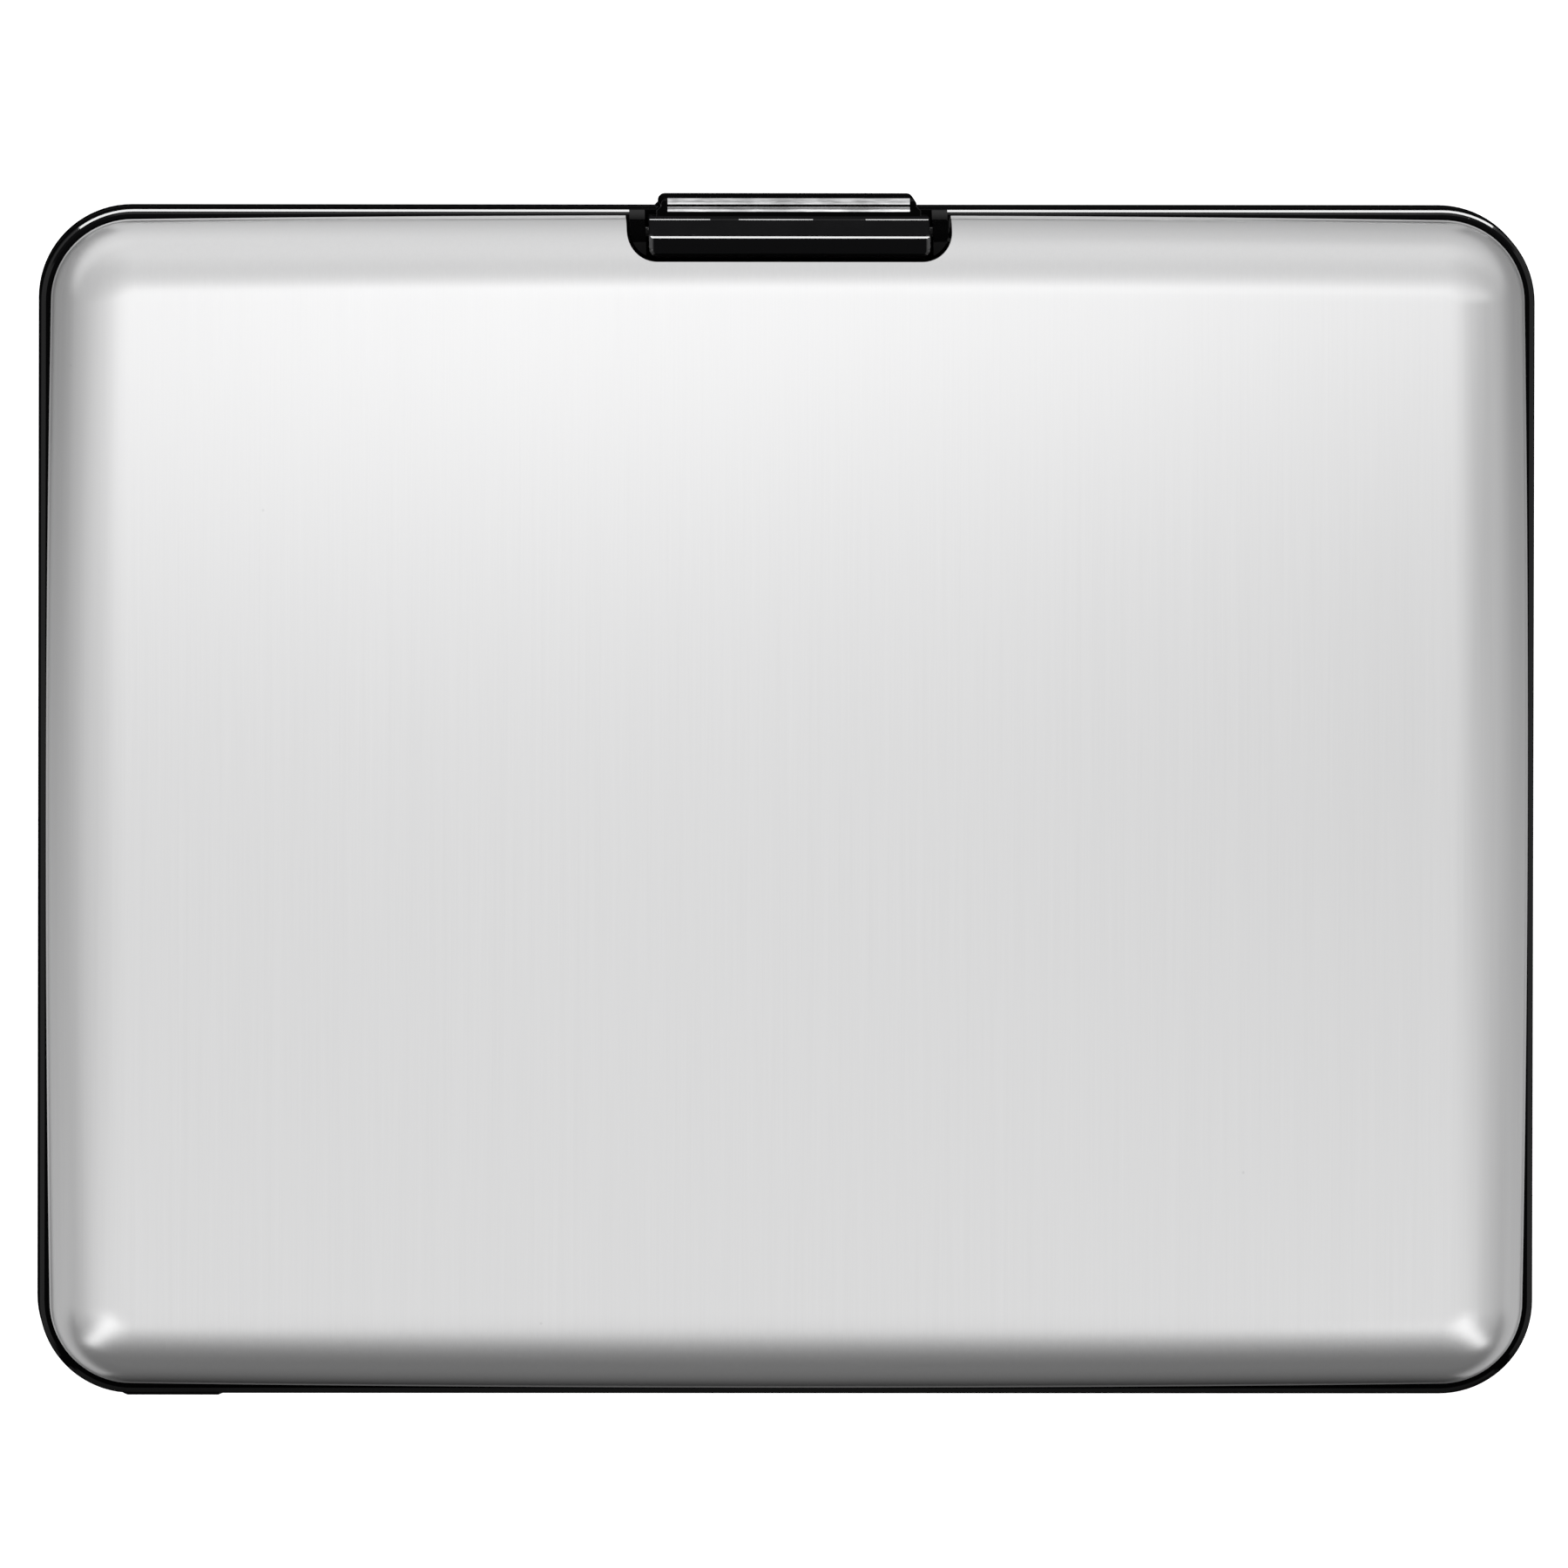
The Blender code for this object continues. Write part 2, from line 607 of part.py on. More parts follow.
def build_spring():
    """A bent steel leaf: a foot on the housing floor and a toe under the finger pad."""
    floor_z = LEDGE_Z + SPRING_GAP + SPRING_WALL / 2
    back_y = NOTCH_Y - HOUSING_GAP + SPRING_GAP + SPRING_WALL
    pad_low = CASE_THICKNESS - PAD_SINK - PAD_LIP - PAD_HEIGHT
    toe_z = pad_low - SPRING_GAP - SPRING_WALL / 2
    points = [
        (back_y + SPRING_BEND + SPRING_FOOT, floor_z),
        (back_y + SPRING_BEND, floor_z),
        (back_y, floor_z + SPRING_BEND),
        (back_y, toe_z - SPRING_BEND),
        (back_y + SPRING_BEND, toe_z),
        (back_y + SPRING_BEND + SPRING_TOE, toe_z),
    ]
    half = SPRING_WIDTH / 2
    return prism("clasp_spring", ribbon(points, SPRING_WALL), "X", -half, half, STEEL)


def plate_plan(half_x, low, high, radius, scoop):
    """A card-shaped plan; with a scoop its mouth edge is hollowed for a thumb."""
    points = []
    corners = (
        (radius - half_x, low + radius, math.pi),
        (half_x - radius, low + radius, 1.5 * math.pi),
        (half_x - radius, high - radius, 0),
        (radius - half_x, high - radius, math.pi / 2),
    )
    for count, (x, y, start) in enumerate(corners):
        for step in range(ROUND_STEPS + 1):
            angle = start + step / ROUND_STEPS * math.pi / 2
            points.append((x + radius * math.cos(angle), y + radius * math.sin(angle)))
        if scoop and count == 2:
            for step in range(SCOOP_STEPS + 1):
                angle = step / SCOOP_STEPS * math.pi
                x_scoop = SCOOP_WIDTH / 2 * math.cos(angle)
                points.append((x_scoop, high - SCOOP_DEPTH * math.sin(angle)))
    return points


def divider_z(count):
    """The middle height of a divider, counted from 1 at the back."""
    return BOARD_TOP + count * POCKET_CLEAR + (count - 1 / 2) * DIVIDER_WALL


def build_boards():
    plan = plate_plan(BOARD_HALF_WIDTH, BOARD_REAR_Y, MOUTH_Y, POUCH_CORNER_RADIUS, False)
    start = SHELL_WALL + BOARD_GAP
    back = prism("pouch_back_board", plan, "Z", start, BOARD_TOP, POUCH_BOARD)
    top = CASE_THICKNESS - start
    front = prism("pouch_front_board", plan, "Z", top - BOARD_WALL, top, POUCH_BOARD)
    return back, front


def build_dividers():
    plan = plate_plan(DIVIDER_HALF_WIDTH, DIVIDER_REAR_Y, MOUTH_Y, POUCH_CORNER_RADIUS, True)
    for count in range(1, POCKETS):
        middle = divider_z(count)
        half = DIVIDER_WALL / 2
        name = f"divider_{count}"
        divider = prism(name, plan, "Z", middle - half, middle + half, POUCH_BOARD)
        set_origin(divider, 0, HINGE_Y, MID_Z)


def pleat_line(board_seat, depth):
    """The fold line of a pleated strip: distance in from the dividers' edge, and height."""
    seat = BOARD_TOP + FABRIC_GAP + FABRIC_WALL / 2
    turn = DIVIDER_WALL / 2 + FABRIC_GAP
    line = [(board_seat, seat)]
    for pocket in range(POCKETS):
        middle = BOARD_TOP + pocket * (POCKET_CLEAR + DIVIDER_WALL) + POCKET_CLEAR / 2
        line += [(depth, middle - FOLD_HALF_WIDTH), (depth, middle + FOLD_HALF_WIDTH)]
        if pocket < POCKETS - 1:
            edge = divider_z(pocket + 1)
            line += [(-FABRIC_GAP, edge - turn), (-FABRIC_GAP, edge + turn)]
    line.append((board_seat, CASE_THICKNESS - seat))
    return line


def build_gusset(name, side):
    """Side bellows of even depth, folded inwards between the dividers."""
    seat = DIVIDER_HALF_WIDTH - BOARD_HALF_WIDTH + FABRIC_GAP
    section = ribbon(pleat_line(seat, GUSSET_DEPTH), FABRIC_WALL)
    places = [(side * (DIVIDER_HALF_WIDTH - across), z) for across, z in section]
    ends = (DIVIDER_REAR_Y + GUSSET_REAR_SET, MOUTH_Y)
    rings = [[(x, y, z) for x, z in places] for y in ends]
    return loft(name, rings, False, POUCH_FABRIC)


def build_bottom():
    """The pleated strip that closes the pockets on the hinge side."""
    seat = BOARD_REAR_Y - DIVIDER_REAR_Y + FABRIC_GAP
    section = ribbon(pleat_line(seat, BOTTOM_PLEAT_DEPTH), FABRIC_WALL)
    points = [(DIVIDER_REAR_Y + across, z) for across, z in section]
    half = DIVIDER_HALF_WIDTH - BOTTOM_END_INSET
    return prism("pouch_bottom", points, "X", -half, half, POUCH_FABRIC)


def build_pins():
    """The hinge pin and the clasp pin, both plain steel rods."""
    reach = HINGE_HALF + END_BOSS_LENGTH - 2 * HINGE_PIN_END
    hinge = rod("hinge_pin", -reach, reach, HINGE_Y, MID_Z, HINGE_PIN_RADIUS, PIN_SIDES, STEEL)
    end = NOTCH_WIDTH / 2 - HOUSING_GAP - CLASP_PIN_SKIN - CLASP_PIN_END_GAP
    clasp = rod("clasp_pin", -end, end, PIVOT_Y, PIVOT_Z, CLASP_PIN_RADIUS, PIN_SIDES, STEEL)
    return hinge, clasp


def build_front_shell():
    shell = pressed_shell("front_shell", 1, ALUMINIUM)
    notch = prism("shell_notch", notch_plan(0), "Z", MID_Z, CASE_THICKNESS + CUT_OVERRUN)
    combine(shell, notch, "DIFFERENCE")
    return shell


def build_frames():
    back = frame_ring("back_frame", -1, BLACK_PLASTIC)
    add_hinge(back, False)
    add_catch_slot(back)
    front = frame_ring("front_frame", 1, BLACK_PLASTIC)
    add_hinge(front, True)
    add_clasp_housing(front)
    return back, front


def joint_axis(name, x, y, z):
    axis = bpy.data.objects.new(name, None)
    axis.location = (x, y, z)
    bpy.context.scene.collection.objects.link(axis)
    return axis


def build_wallet():
    clear_scene()
    lid_axis = joint_axis("lid_axis", 0, HINGE_Y, MID_Z)
    pressed_shell("back_shell", -1, ALUMINIUM)
    front_shell = build_front_shell()
    front_frame = build_frames()[1]
    clasp = build_clasp()
    set_origin(clasp, 0, PIVOT_Y, PIVOT_Z)
    spring = build_spring()
    clasp_pin = build_pins()[1]
    front_board = build_boards()[1]
    build_dividers()
    build_gusset("gusset_left", -1)
    build_gusset("gusset_right", 1)
    build_bottom()
    for piece in (front_shell, front_frame, clasp, spring, clasp_pin, front_board):
        hang(piece, lid_axis)


build_wallet()
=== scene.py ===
"""An aluminium clamshell wallet with a snap clasp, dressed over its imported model.

The wallet lies on its back: +Z is up out of the front shell, +Y points at the clasp and +X runs
along the hinge. Sizes are in metres.
"""

import math

import bmesh
import bpy
from mathutils import Matrix, Vector


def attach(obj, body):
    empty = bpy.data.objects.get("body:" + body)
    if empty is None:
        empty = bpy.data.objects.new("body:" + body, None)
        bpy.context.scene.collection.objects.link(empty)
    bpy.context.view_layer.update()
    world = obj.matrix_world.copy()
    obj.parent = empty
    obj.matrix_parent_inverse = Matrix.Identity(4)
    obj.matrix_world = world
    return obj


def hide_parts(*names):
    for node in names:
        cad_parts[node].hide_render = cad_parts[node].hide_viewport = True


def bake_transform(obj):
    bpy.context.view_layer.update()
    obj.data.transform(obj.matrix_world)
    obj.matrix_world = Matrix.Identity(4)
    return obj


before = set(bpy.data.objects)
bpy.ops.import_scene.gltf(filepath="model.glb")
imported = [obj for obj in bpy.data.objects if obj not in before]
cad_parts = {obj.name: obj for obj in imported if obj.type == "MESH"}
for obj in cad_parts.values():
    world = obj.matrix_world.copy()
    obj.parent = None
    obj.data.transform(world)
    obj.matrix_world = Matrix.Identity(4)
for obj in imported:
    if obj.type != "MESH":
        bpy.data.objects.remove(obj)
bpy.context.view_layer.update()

# The shells: two trays pressed from 0.8 mm aluminium sheet, brushed across their height and
# clear anodised. Each is pushed over its frame's flange and glued there, so no screw shows.
# The front one has a U-shaped notch for the clasp, cut through after pressing.
PARTING_Z = 0.012
SHELL_WALL = 0.0008
SHELL_CORNER = 0.0067
SHELL_CENTRE_X = 0.05477
SHELL_CENTRE_Y = 0.04187
SHELL_BOW = 0.00036
SHELL_EDGE_RISE = 0.0051
RIM_WIDTH = 0.0061
RIM_HEIGHT = 0.0069
RIM_SQUARENESS = 2.3
LIP_REACH = 0.00016
LIP_RISE = 0.00022
NOTCH_HALF = 0.0136
NOTCH_Y = 0.04545
NOTCH_CORNER = 0.0025
NOTCH_FROM_Z = 0.014
CASE_DEPTH = 0.024
PAST_Y = 0.052
PAST_Z = 0.026
ARC_STEPS = 20
SIDE_STEPS = 14
FLAT_FRAME = 0.0005


def ring_round_case(section, centre_x, centre_y, bow, closed):
    """Spin a section round one corner, run its ends to the middle of the sides, mirror it twice.

    The section's points are (distance out from the corner's centre, height)."""
    bm = bmesh.new()
    row = [bm.verts.new((centre_x + out, centre_y, z)) for out, z in section]
    pairs = zip(row, row[1:] + row[:1]) if closed else zip(row, row[1:])
    start = [bm.edges.new(pair) for pair in pairs]
    spun = bmesh.ops.spin(
        bm,
        geom=row + start,
        cent=(centre_x, centre_y, 0),
        axis=(0, 0, 1),
        angle=math.pi / 2,
        steps=ARC_STEPS,
    )
    last = [g for g in spun["geom_last"] if isinstance(g, bmesh.types.BMEdge)]
    for edges, reach in ((start, (0, -centre_y, 0)), (last, (-centre_x, 0, 0))):
        for _ in range(SIDE_STEPS):
            grown = bmesh.ops.extrude_edge_only(bm, edges=edges)["geom"]
            moved = {g for g in grown if isinstance(g, bmesh.types.BMVert)}
            edges = [g for g in grown if isinstance(g, bmesh.types.BMEdge) and moved.issuperset(g.verts)]
            bmesh.ops.translate(bm, verts=list(moved), vec=Vector(reach) / SIDE_STEPS)
    for vertex in bm.verts:
        if vertex.co.y < centre_y:
            vertex.co.x += bow * (1 - (vertex.co.y / centre_y) ** 2)
        elif vertex.co.x < centre_x:
            vertex.co.y += bow * (1 - (vertex.co.x / centre_x) ** 2)
    for axis in "XY":
        everything = bm.verts[:] + bm.edges[:] + bm.faces[:]
        bmesh.ops.mirror(bm, geom=everything, matrix=Matrix(), merge_dist=1e-6, axis=axis)
    return bm


def fill_flat(bm, z):
    """Close the opening at one height with a flat face, framed so that its middle shades flat."""
    rim = [e for e in bm.edges if e.is_boundary and all(abs(v.co.z - z) < 1e-7 for v in e.verts)]
    faces = bmesh.ops.contextual_create(bm, geom=rim)["faces"]
    bmesh.ops.inset_region(bm, faces=faces, thickness=FLAT_FRAME, use_even_offset=True)


def quarter_rim(width, height, steps):
    """A squarish quarter curve from a shell's steep edge to its flat face: (across, rise)."""
    power = 2 / RIM_SQUARENESS
    curve = []
    for step in range(steps + 1):
        angle = step / steps * math.pi / 2
        across = width * (1 - max(math.cos(angle), 0) ** power)
        curve.append((across, height * math.sin(angle) ** power))
    curve[-1] = (width, height)
    return curve


def as_piece(name, bm, material, sharp=35):
    """Close a bmesh into a named object with smooth faces between its sharp edges."""
    bmesh.ops.remove_doubles(bm, verts=bm.verts, dist=1e-7)
    bmesh.ops.recalc_face_normals(bm, faces=bm.faces)
    mesh = bpy.data.meshes.new(name)
    bm.to_mesh(mesh)
    bm.free()
    piece = bpy.data.objects.new(name, mesh)
    bpy.context.scene.collection.objects.link(piece)
    if material:
        mesh.materials.append(material)
    mesh.shade_smooth()
    mesh.set_sharp_from_angle(angle=math.radians(sharp))
    return piece


def shape_with(piece, bm, operation, sharp=35):
    """Cut a piece with a shape, or keep what both share."""
    tool = as_piece("tool", bm, None)
    modifier = piece.modifiers.new(operation, "BOOLEAN")
    modifier.operation = operation
    modifier.object = tool
    seen = piece.evaluated_get(bpy.context.evaluated_depsgraph_get())
    mesh = bpy.data.meshes.new_from_object(seen)
    piece.modifiers.clear()
    before = piece.data
    piece.data = mesh
    bpy.data.meshes.remove(before)
    bpy.data.objects.remove(tool)
    mesh.name = piece.name
    mesh.shade_smooth()
    mesh.set_sharp_from_angle(angle=math.radians(sharp))


def oblong(half, low, high):
    """The four corners of a plan as wide to the left as to the right."""
    return [(-half, low), (half, low), (half, high), (-half, high)]


def plate(corners, rounded, radius, low, high, steps=8):
    """A flat plate from its corners in plan; the rounded ones are counted from 0."""
    bm = bmesh.new()
    verts = [bm.verts.new((x, y, low)) for x, y in corners]
    bm.faces.new(verts)
    if rounded:
        bmesh.ops.bevel(
            bm,
            geom=[verts[i] for i in rounded],
            offset=radius,
            segments=steps,
            profile=0.5,
            affect="VERTICES",
            material=-1,
        )
    grown = bmesh.ops.extrude_face_region(bm, geom=bm.faces[:])["geom"]
    moved = [g for g in grown if isinstance(g, bmesh.types.BMVert)]
    bmesh.ops.translate(bm, verts=moved, vec=(0, 0, high - low))
    bmesh.ops.recalc_face_normals(bm, faces=bm.faces)
    return bm


def block(low, high):
    """A plain block between two corners."""
    corners = [(low[0], low[1]), (high[0], low[1]), (high[0], high[1]), (low[0], high[1])]
    return plate(corners, (), 0, low[2], high[2])


def new_group(name, inputs, outputs):
    """An empty shader node group with named sockets, and its input and output nodes."""
    group = bpy.data.node_groups.new(name, "ShaderNodeTree")
    for label, kind, value in inputs:
        socket = group.interface.new_socket(label, in_out="INPUT", socket_type=kind)
        if value is not None:
            socket.default_value = value
    for label, kind in outputs:
        group.interface.new_socket(label, in_out="OUTPUT", socket_type=kind)
    entry = group.nodes.new("NodeGroupInput")
    leave = group.nodes.new("NodeGroupOutput")
    return group, entry, leave


def add_node(tree, kind, links=None, **settings):
    """A node with its settings; links gives the socket or value for each of its inputs."""
    node = tree.nodes.new(kind)
    for key, value in settings.items():
        setattr(node, key, value)
    for key, value in (links or {}).items():
        if isinstance(value, bpy.types.NodeSocket):
            tree.links.new(value, node.inputs[key])
        else:
            node.inputs[key].default_value = value
    return node


def number(tree, operation, *values):
    """One step of arithmetic on sockets and plain values."""
    return add_node(tree, "ShaderNodeMath", dict(enumerate(values)), operation=operation).outputs[0]


def ranged(tree, value, low, high, first=0.0, last=1.0, **settings):
    """A value's run from low to high, carried over to the run from first to last."""
    links = {"Value": value, "From Min": low, "From Max": high, "To Min": first, "To Max": last}
    return add_node(tree, "ShaderNodeMapRange", links, **settings).outputs[0]


def noise(tree, place, scale, detail, roughness=0.5):
    """Soft noise between 0 and 1."""
    links = {"Vector": place, "Scale": scale, "Detail": detail, "Roughness": roughness}
    return add_node(tree, "ShaderNodeTexNoise", links).outputs["Fac"]


def blended(tree, share, first, second):
    """A colour that goes from the first to the second as share goes from 0 to 1."""
    return add_node(tree, "ShaderNodeMix", {0: share, 6: first, 7: second}, data_type="RGBA").outputs[2]


def times(tree, colour, level):
    """A colour or place multiplied by a number."""
    return add_node(tree, "ShaderNodeVectorMath", {0: colour, "Scale": level}, operation="SCALE").outputs[0]


def brush_group():
    """Straight brushing: long fine lines whose height and shine vary, and the odd deeper one."""
    group, entry, leave = new_group(
        "brushed_lines",
        [
            ("Vector", "NodeSocketVector", None),
            ("Fineness", "NodeSocketFloat", 4200.0),
            ("Length", "NodeSocketFloat", 0.03),
        ],
        [("Lines", "NodeSocketFloat"), ("Streaks", "NodeSocketFloat")],
    )
    stretch = add_node(group, "ShaderNodeCombineXYZ", {"X": 1.0, "Y": entry.outputs["Length"], "Z": 1.0})
    stretched = {0: entry.outputs["Vector"], 1: stretch.outputs[0]}
    along = add_node(group, "ShaderNodeVectorMath", stretched, operation="MULTIPLY").outputs[0]
    fine = noise(group, along, entry.outputs["Fineness"], 3.0, 0.65)
    coarse = noise(group, along, number(group, "MULTIPLY", entry.outputs["Fineness"], 0.31), 2.0)
    both = add_node(group, "ShaderNodeMix", {0: 0.4, 2: fine, 3: coarse}, data_type="FLOAT")
    group.links.new(both.outputs[0], leave.inputs["Lines"])
    group.links.new(ranged(group, coarse, 0.63, 0.75), leave.inputs["Streaks"])
    return group


def speck_group():
    """Fine specks of dust or pits: a mask that is 1 inside a few small dots."""
    group, entry, leave = new_group(
        "specks",
        [
            ("Vector", "NodeSocketVector", None),
            ("Density", "NodeSocketFloat", 900.0),
            ("Share", "NodeSocketFloat", 0.1),
        ],
        [("Mask", "NodeSocketFloat")],
    )
    cell_links = {"Vector": entry.outputs["Vector"], "Scale": entry.outputs["Density"]}
    cells = add_node(group, "ShaderNodeTexVoronoi", cell_links)
    dot = ranged(group, cells.outputs["Distance"], 0.24, 0.1)
    few = number(group, "LESS_THAN", cells.outputs["Color"], entry.outputs["Share"])
    group.links.new(number(group, "MULTIPLY", dot, few), leave.inputs["Mask"])
    return group


def place_group(tree, group, links):
    """A shared effect placed in a material, with the material's own values."""
    return add_node(tree, "ShaderNodeGroup", links, node_tree=group)


def new_material(name):
    """A material with its node tree, its shader and its Object coordinates."""
    material = bpy.data.materials.new(name)
    material.use_nodes = True
    tree = material.node_tree
    shader = tree.nodes["Principled BSDF"]
    place = tree.nodes.new("ShaderNodeTexCoord").outputs["Object"]
    return material, tree, shader, place


def bumped(tree, shader, height, strength, distance):
    """Give a material's surface a relief."""
    relief = {"Strength": strength, "Distance": distance, "Height": height}
    bump = add_node(tree, "ShaderNodeBump", relief)
    tree.links.new(bump.outputs[0], shader.inputs["Normal"])


brushed_lines = brush_group()
specks = speck_group()


def brushed_aluminium():
    """Clear anodised aluminium, brushed along Y, with a satin that is rougher across the lines."""
    material, tree, shader, place = new_material("brushed_aluminium")
    lines = place_group(tree, brushed_lines, {"Vector": place, "Fineness": 8000.0, "Length": 0.008})
    pits = place_group(tree, specks, {"Vector": place, "Density": 1500.0, "Share": 0.02})
    tone = ranged(tree, lines.outputs["Lines"], 0.3, 0.7, 0.98, 1.02)
    worn = number(tree, "MULTIPLY_ADD", pits.outputs["Mask"], -0.1, tone)
    tree.links.new(times(tree, (0.80, 0.80, 0.803), worn), shader.inputs["Base Color"])
    shine = ranged(tree, lines.outputs["Lines"], 0.25, 0.75, 0.3, 0.35)
    tree.links.new(shine, shader.inputs["Roughness"])
    shader.inputs["Metallic"].default_value = 1.0
    shader.inputs["Anisotropic"].default_value = 0.55
    tangent = add_node(tree, "ShaderNodeTangent", direction_type="UV_MAP", uv_map="across_brushing")
    tree.links.new(tangent.outputs[0], shader.inputs["Tangent"])
    bumped(tree, shader, lines.outputs["Lines"], 0.2, 0.00001)
    return material


def lay_uv(piece, name):
    """A UV map seen straight down on the piece, in metres: U runs along X and V along Y."""
    layer = piece.data.uv_layers.new(name=name)
    for loop in piece.data.loops:
        layer.data[loop.index].uv = piece.data.vertices[loop.vertex_index].co.xy


def pressed_shell(name, side):
    """One tray; side is 1 for the front half and -1 for the back half."""
    outer = quarter_rim(RIM_WIDTH, RIM_HEIGHT, 30)
    inner = quarter_rim(RIM_WIDTH - SHELL_WALL, RIM_HEIGHT - SHELL_WALL, 14)
    lip_shares = [(1, 0.0), (1, 0.00004), (0.75, 0.00011), (0.25, LIP_RISE)]
    points = [(SHELL_WALL + across, rise) for across, rise in reversed(inner)]
    points += [(-LIP_REACH * share, rise) for share, rise in lip_shares]
    points += [(across, rise) for across, rise in outer if rise > LIP_RISE * 1.2]
    section = [
        (SHELL_CORNER - across, PARTING_Z + side * (SHELL_EDGE_RISE + rise)) for across, rise in points
    ]
    bm = ring_round_case(section, SHELL_CENTRE_X, SHELL_CENTRE_Y, SHELL_BOW, False)
    for rise in (RIM_HEIGHT, RIM_HEIGHT - SHELL_WALL):
        fill_flat(bm, PARTING_Z + side * (SHELL_EDGE_RISE + rise))
    return as_piece(name, bm, aluminium)


aluminium = brushed_aluminium()
back_shell = pressed_shell("back_tray", -1)
front_shell = pressed_shell("front_tray", 1)
notch = plate(oblong(NOTCH_HALF, NOTCH_Y, PAST_Y), (0, 1), NOTCH_CORNER, NOTCH_FROM_Z, PAST_Z, 12)
shape_with(front_shell, notch, "DIFFERENCE")
for tray, body, node in ((back_shell, "back", "back_shell"), (front_shell, "lid", "front_shell")):
    lay_uv(tray, "across_brushing")
    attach(tray, body)
    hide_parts(node)

# The frames: two rings moulded in gloss black plastic. Each has an outer wall with a rounded
# edge, a ledge on which the shell's edge sits and a flange inside it, and a tongue on the back
# ring's face closes into a groove in the front one's.
CASE_CENTRE_X = 0.0547
CASE_CENTRE_Y = 0.0418
CASE_CORNER = 0.0078
FRAME_EDGE = 0.0007
LEDGE_RISE = 0.0048
FLANGE_RISE = 0.0069
HINGE_Y = -0.0479
BARREL = 0.0017
SOCKET = 0.00235
KNUCKLE_ENDS = (0.00935, 0.02805, 0.04675)
KNUCKLE_HALF_GAP = 0.00015
END_KNUCKLE_X = 0.0596
BOSS = 0.0021
BOSS_X = (-0.0555, -0.0469)
EDGE_BREAK = 0.00015
TONGUE_RISES = {"back": 0.00022, "lid": -0.0003}
CATCH_HALF = 0.01135
CATCH_Y = 0.0486
CATCH_Z = (0.008, 0.0099)
POCKET_HALF = 0.012
POCKET_Y = 0.04515
POCKET_FLOOR_Z = 0.0168
FRAME_SHARP = 8


def gloss_black_plastic(name):
    """Moulded gloss black: a faint ripple of the mould, fine rubbed marks and a little dust."""
    material, tree, shader, place = new_material(name)
    shine = ranged(tree, noise(tree, place, 260.0, 6.0, 0.7), 0.3, 0.75, 0.05, 0.1)
    dust = place_group(tree, specks, {"Vector": place, "Density": 2600.0, "Share": 0.05}).outputs["Mask"]
    tree.links.new(number(tree, "MULTIPLY_ADD", dust, 0.15, shine), shader.inputs["Roughness"])
    colour = blended(tree, dust, (0.003, 0.003, 0.0032, 1), (0.05, 0.05, 0.05, 1))
    tree.links.new(colour, shader.inputs["Base Color"])
    bumped(tree, shader, noise(tree, place, 420.0, 1.0), 0.25, 0.00002)
    shader.inputs["IOR"].default_value = 1.49
    shader.inputs["Specular IOR Level"].default_value = 0.35
    return material


def frame_section(side, tongue):
    """The ring's section as (inset from the outer wall, rise from the parting plane)."""
    section = [
        (0.00006, EDGE_BREAK),
        (0, 0.00019),
        (0, LEDGE_RISE - 0.0005),
        (0.00008, LEDGE_RISE - 0.00034),
        (0.00025, LEDGE_RISE - 0.00018),
        (0.00045, LEDGE_RISE - 0.00006),
        (FRAME_EDGE, LEDGE_RISE),
        (0.00235, LEDGE_RISE),
        (0.00235, FLANGE_RISE - EDGE_BREAK),
        (0.0026, FLANGE_RISE),
        (0.00315, FLANGE_RISE),
        (0.0033, FLANGE_RISE - EDGE_BREAK),
        (0.0033, 0.0003),
        (0.00315, EDGE_BREAK),
        (0.0021, EDGE_BREAK),
        (0.00202, EDGE_BREAK - tongue),
        (0.00158, EDGE_BREAK - tongue),
        (0.0015, EDGE_BREAK),
    ]
    return [(CASE_CORNER - inset, PARTING_Z + side * rise) for inset, rise in section]


def barrel(low, high, radius, ends=0.00012):
    """A hinge barrel along X with its end edges broken."""
    bm = bmesh.new()
    middle = Matrix.Translation(((low + high) / 2, HINGE_Y, PARTING_Z))
    turned = middle @ Matrix.Rotation(math.pi / 2, 4, "Y")
    bmesh.ops.create_cone(
        bm, cap_ends=True, segments=48, radius1=radius, radius2=radius, depth=high - low, matrix=turned
    )
    if ends:
        rims = [e for e in bm.edges if len([f for f in e.link_faces if len(f.verts) > 4]) == 1]
        bmesh.ops.bevel(
            bm, geom=rims, offset=ends, segments=2, profile=0.5, affect="EDGES", material=-1
        )
    return bm


black_plastic = gloss_black_plastic("gloss_black_plastic")
first_end, second_end, third_end = KNUCKLE_ENDS
knuckles = [
    (-third_end, -second_end, "lid"),
    (-second_end, -first_end, "back"),
    (-first_end, first_end, "lid"),
    (first_end, second_end, "back"),
    (second_end, third_end, "lid"),
    (-END_KNUCKLE_X, -third_end, "back"),
    (third_end, END_KNUCKLE_X, "back"),
]
frames = {}
for body, side, node in (("back", -1, "back_frame"), ("lid", 1, "front_frame")):
    section = frame_section(side, TONGUE_RISES[body])
    ring = ring_round_case(section, CASE_CENTRE_X, CASE_CENTRE_Y, 0, True)
    frames[body] = as_piece(f"{node}_moulding", ring, black_plastic, FRAME_SHARP)
    for low, high, owner in knuckles:
        if owner != body:
            socket = barrel(low - KNUCKLE_HALF_GAP, high + KNUCKLE_HALF_GAP, SOCKET, 0)
            shape_with(frames[body], socket, "DIFFERENCE", FRAME_SHARP)
for body, low, high in (
    ("back", (-CATCH_HALF, CATCH_Y, CATCH_Z[0]), (CATCH_HALF, PAST_Y, CATCH_Z[1])),
    ("lid", (-POCKET_HALF, POCKET_Y, POCKET_FLOOR_Z), (POCKET_HALF, PAST_Y, PAST_Z)),
):
    shape_with(frames[body], block(low, high), "DIFFERENCE", FRAME_SHARP)
for body, node in (("back", "back_frame"), ("lid", "front_frame")):
    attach(frames[body], body)
    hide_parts(node)

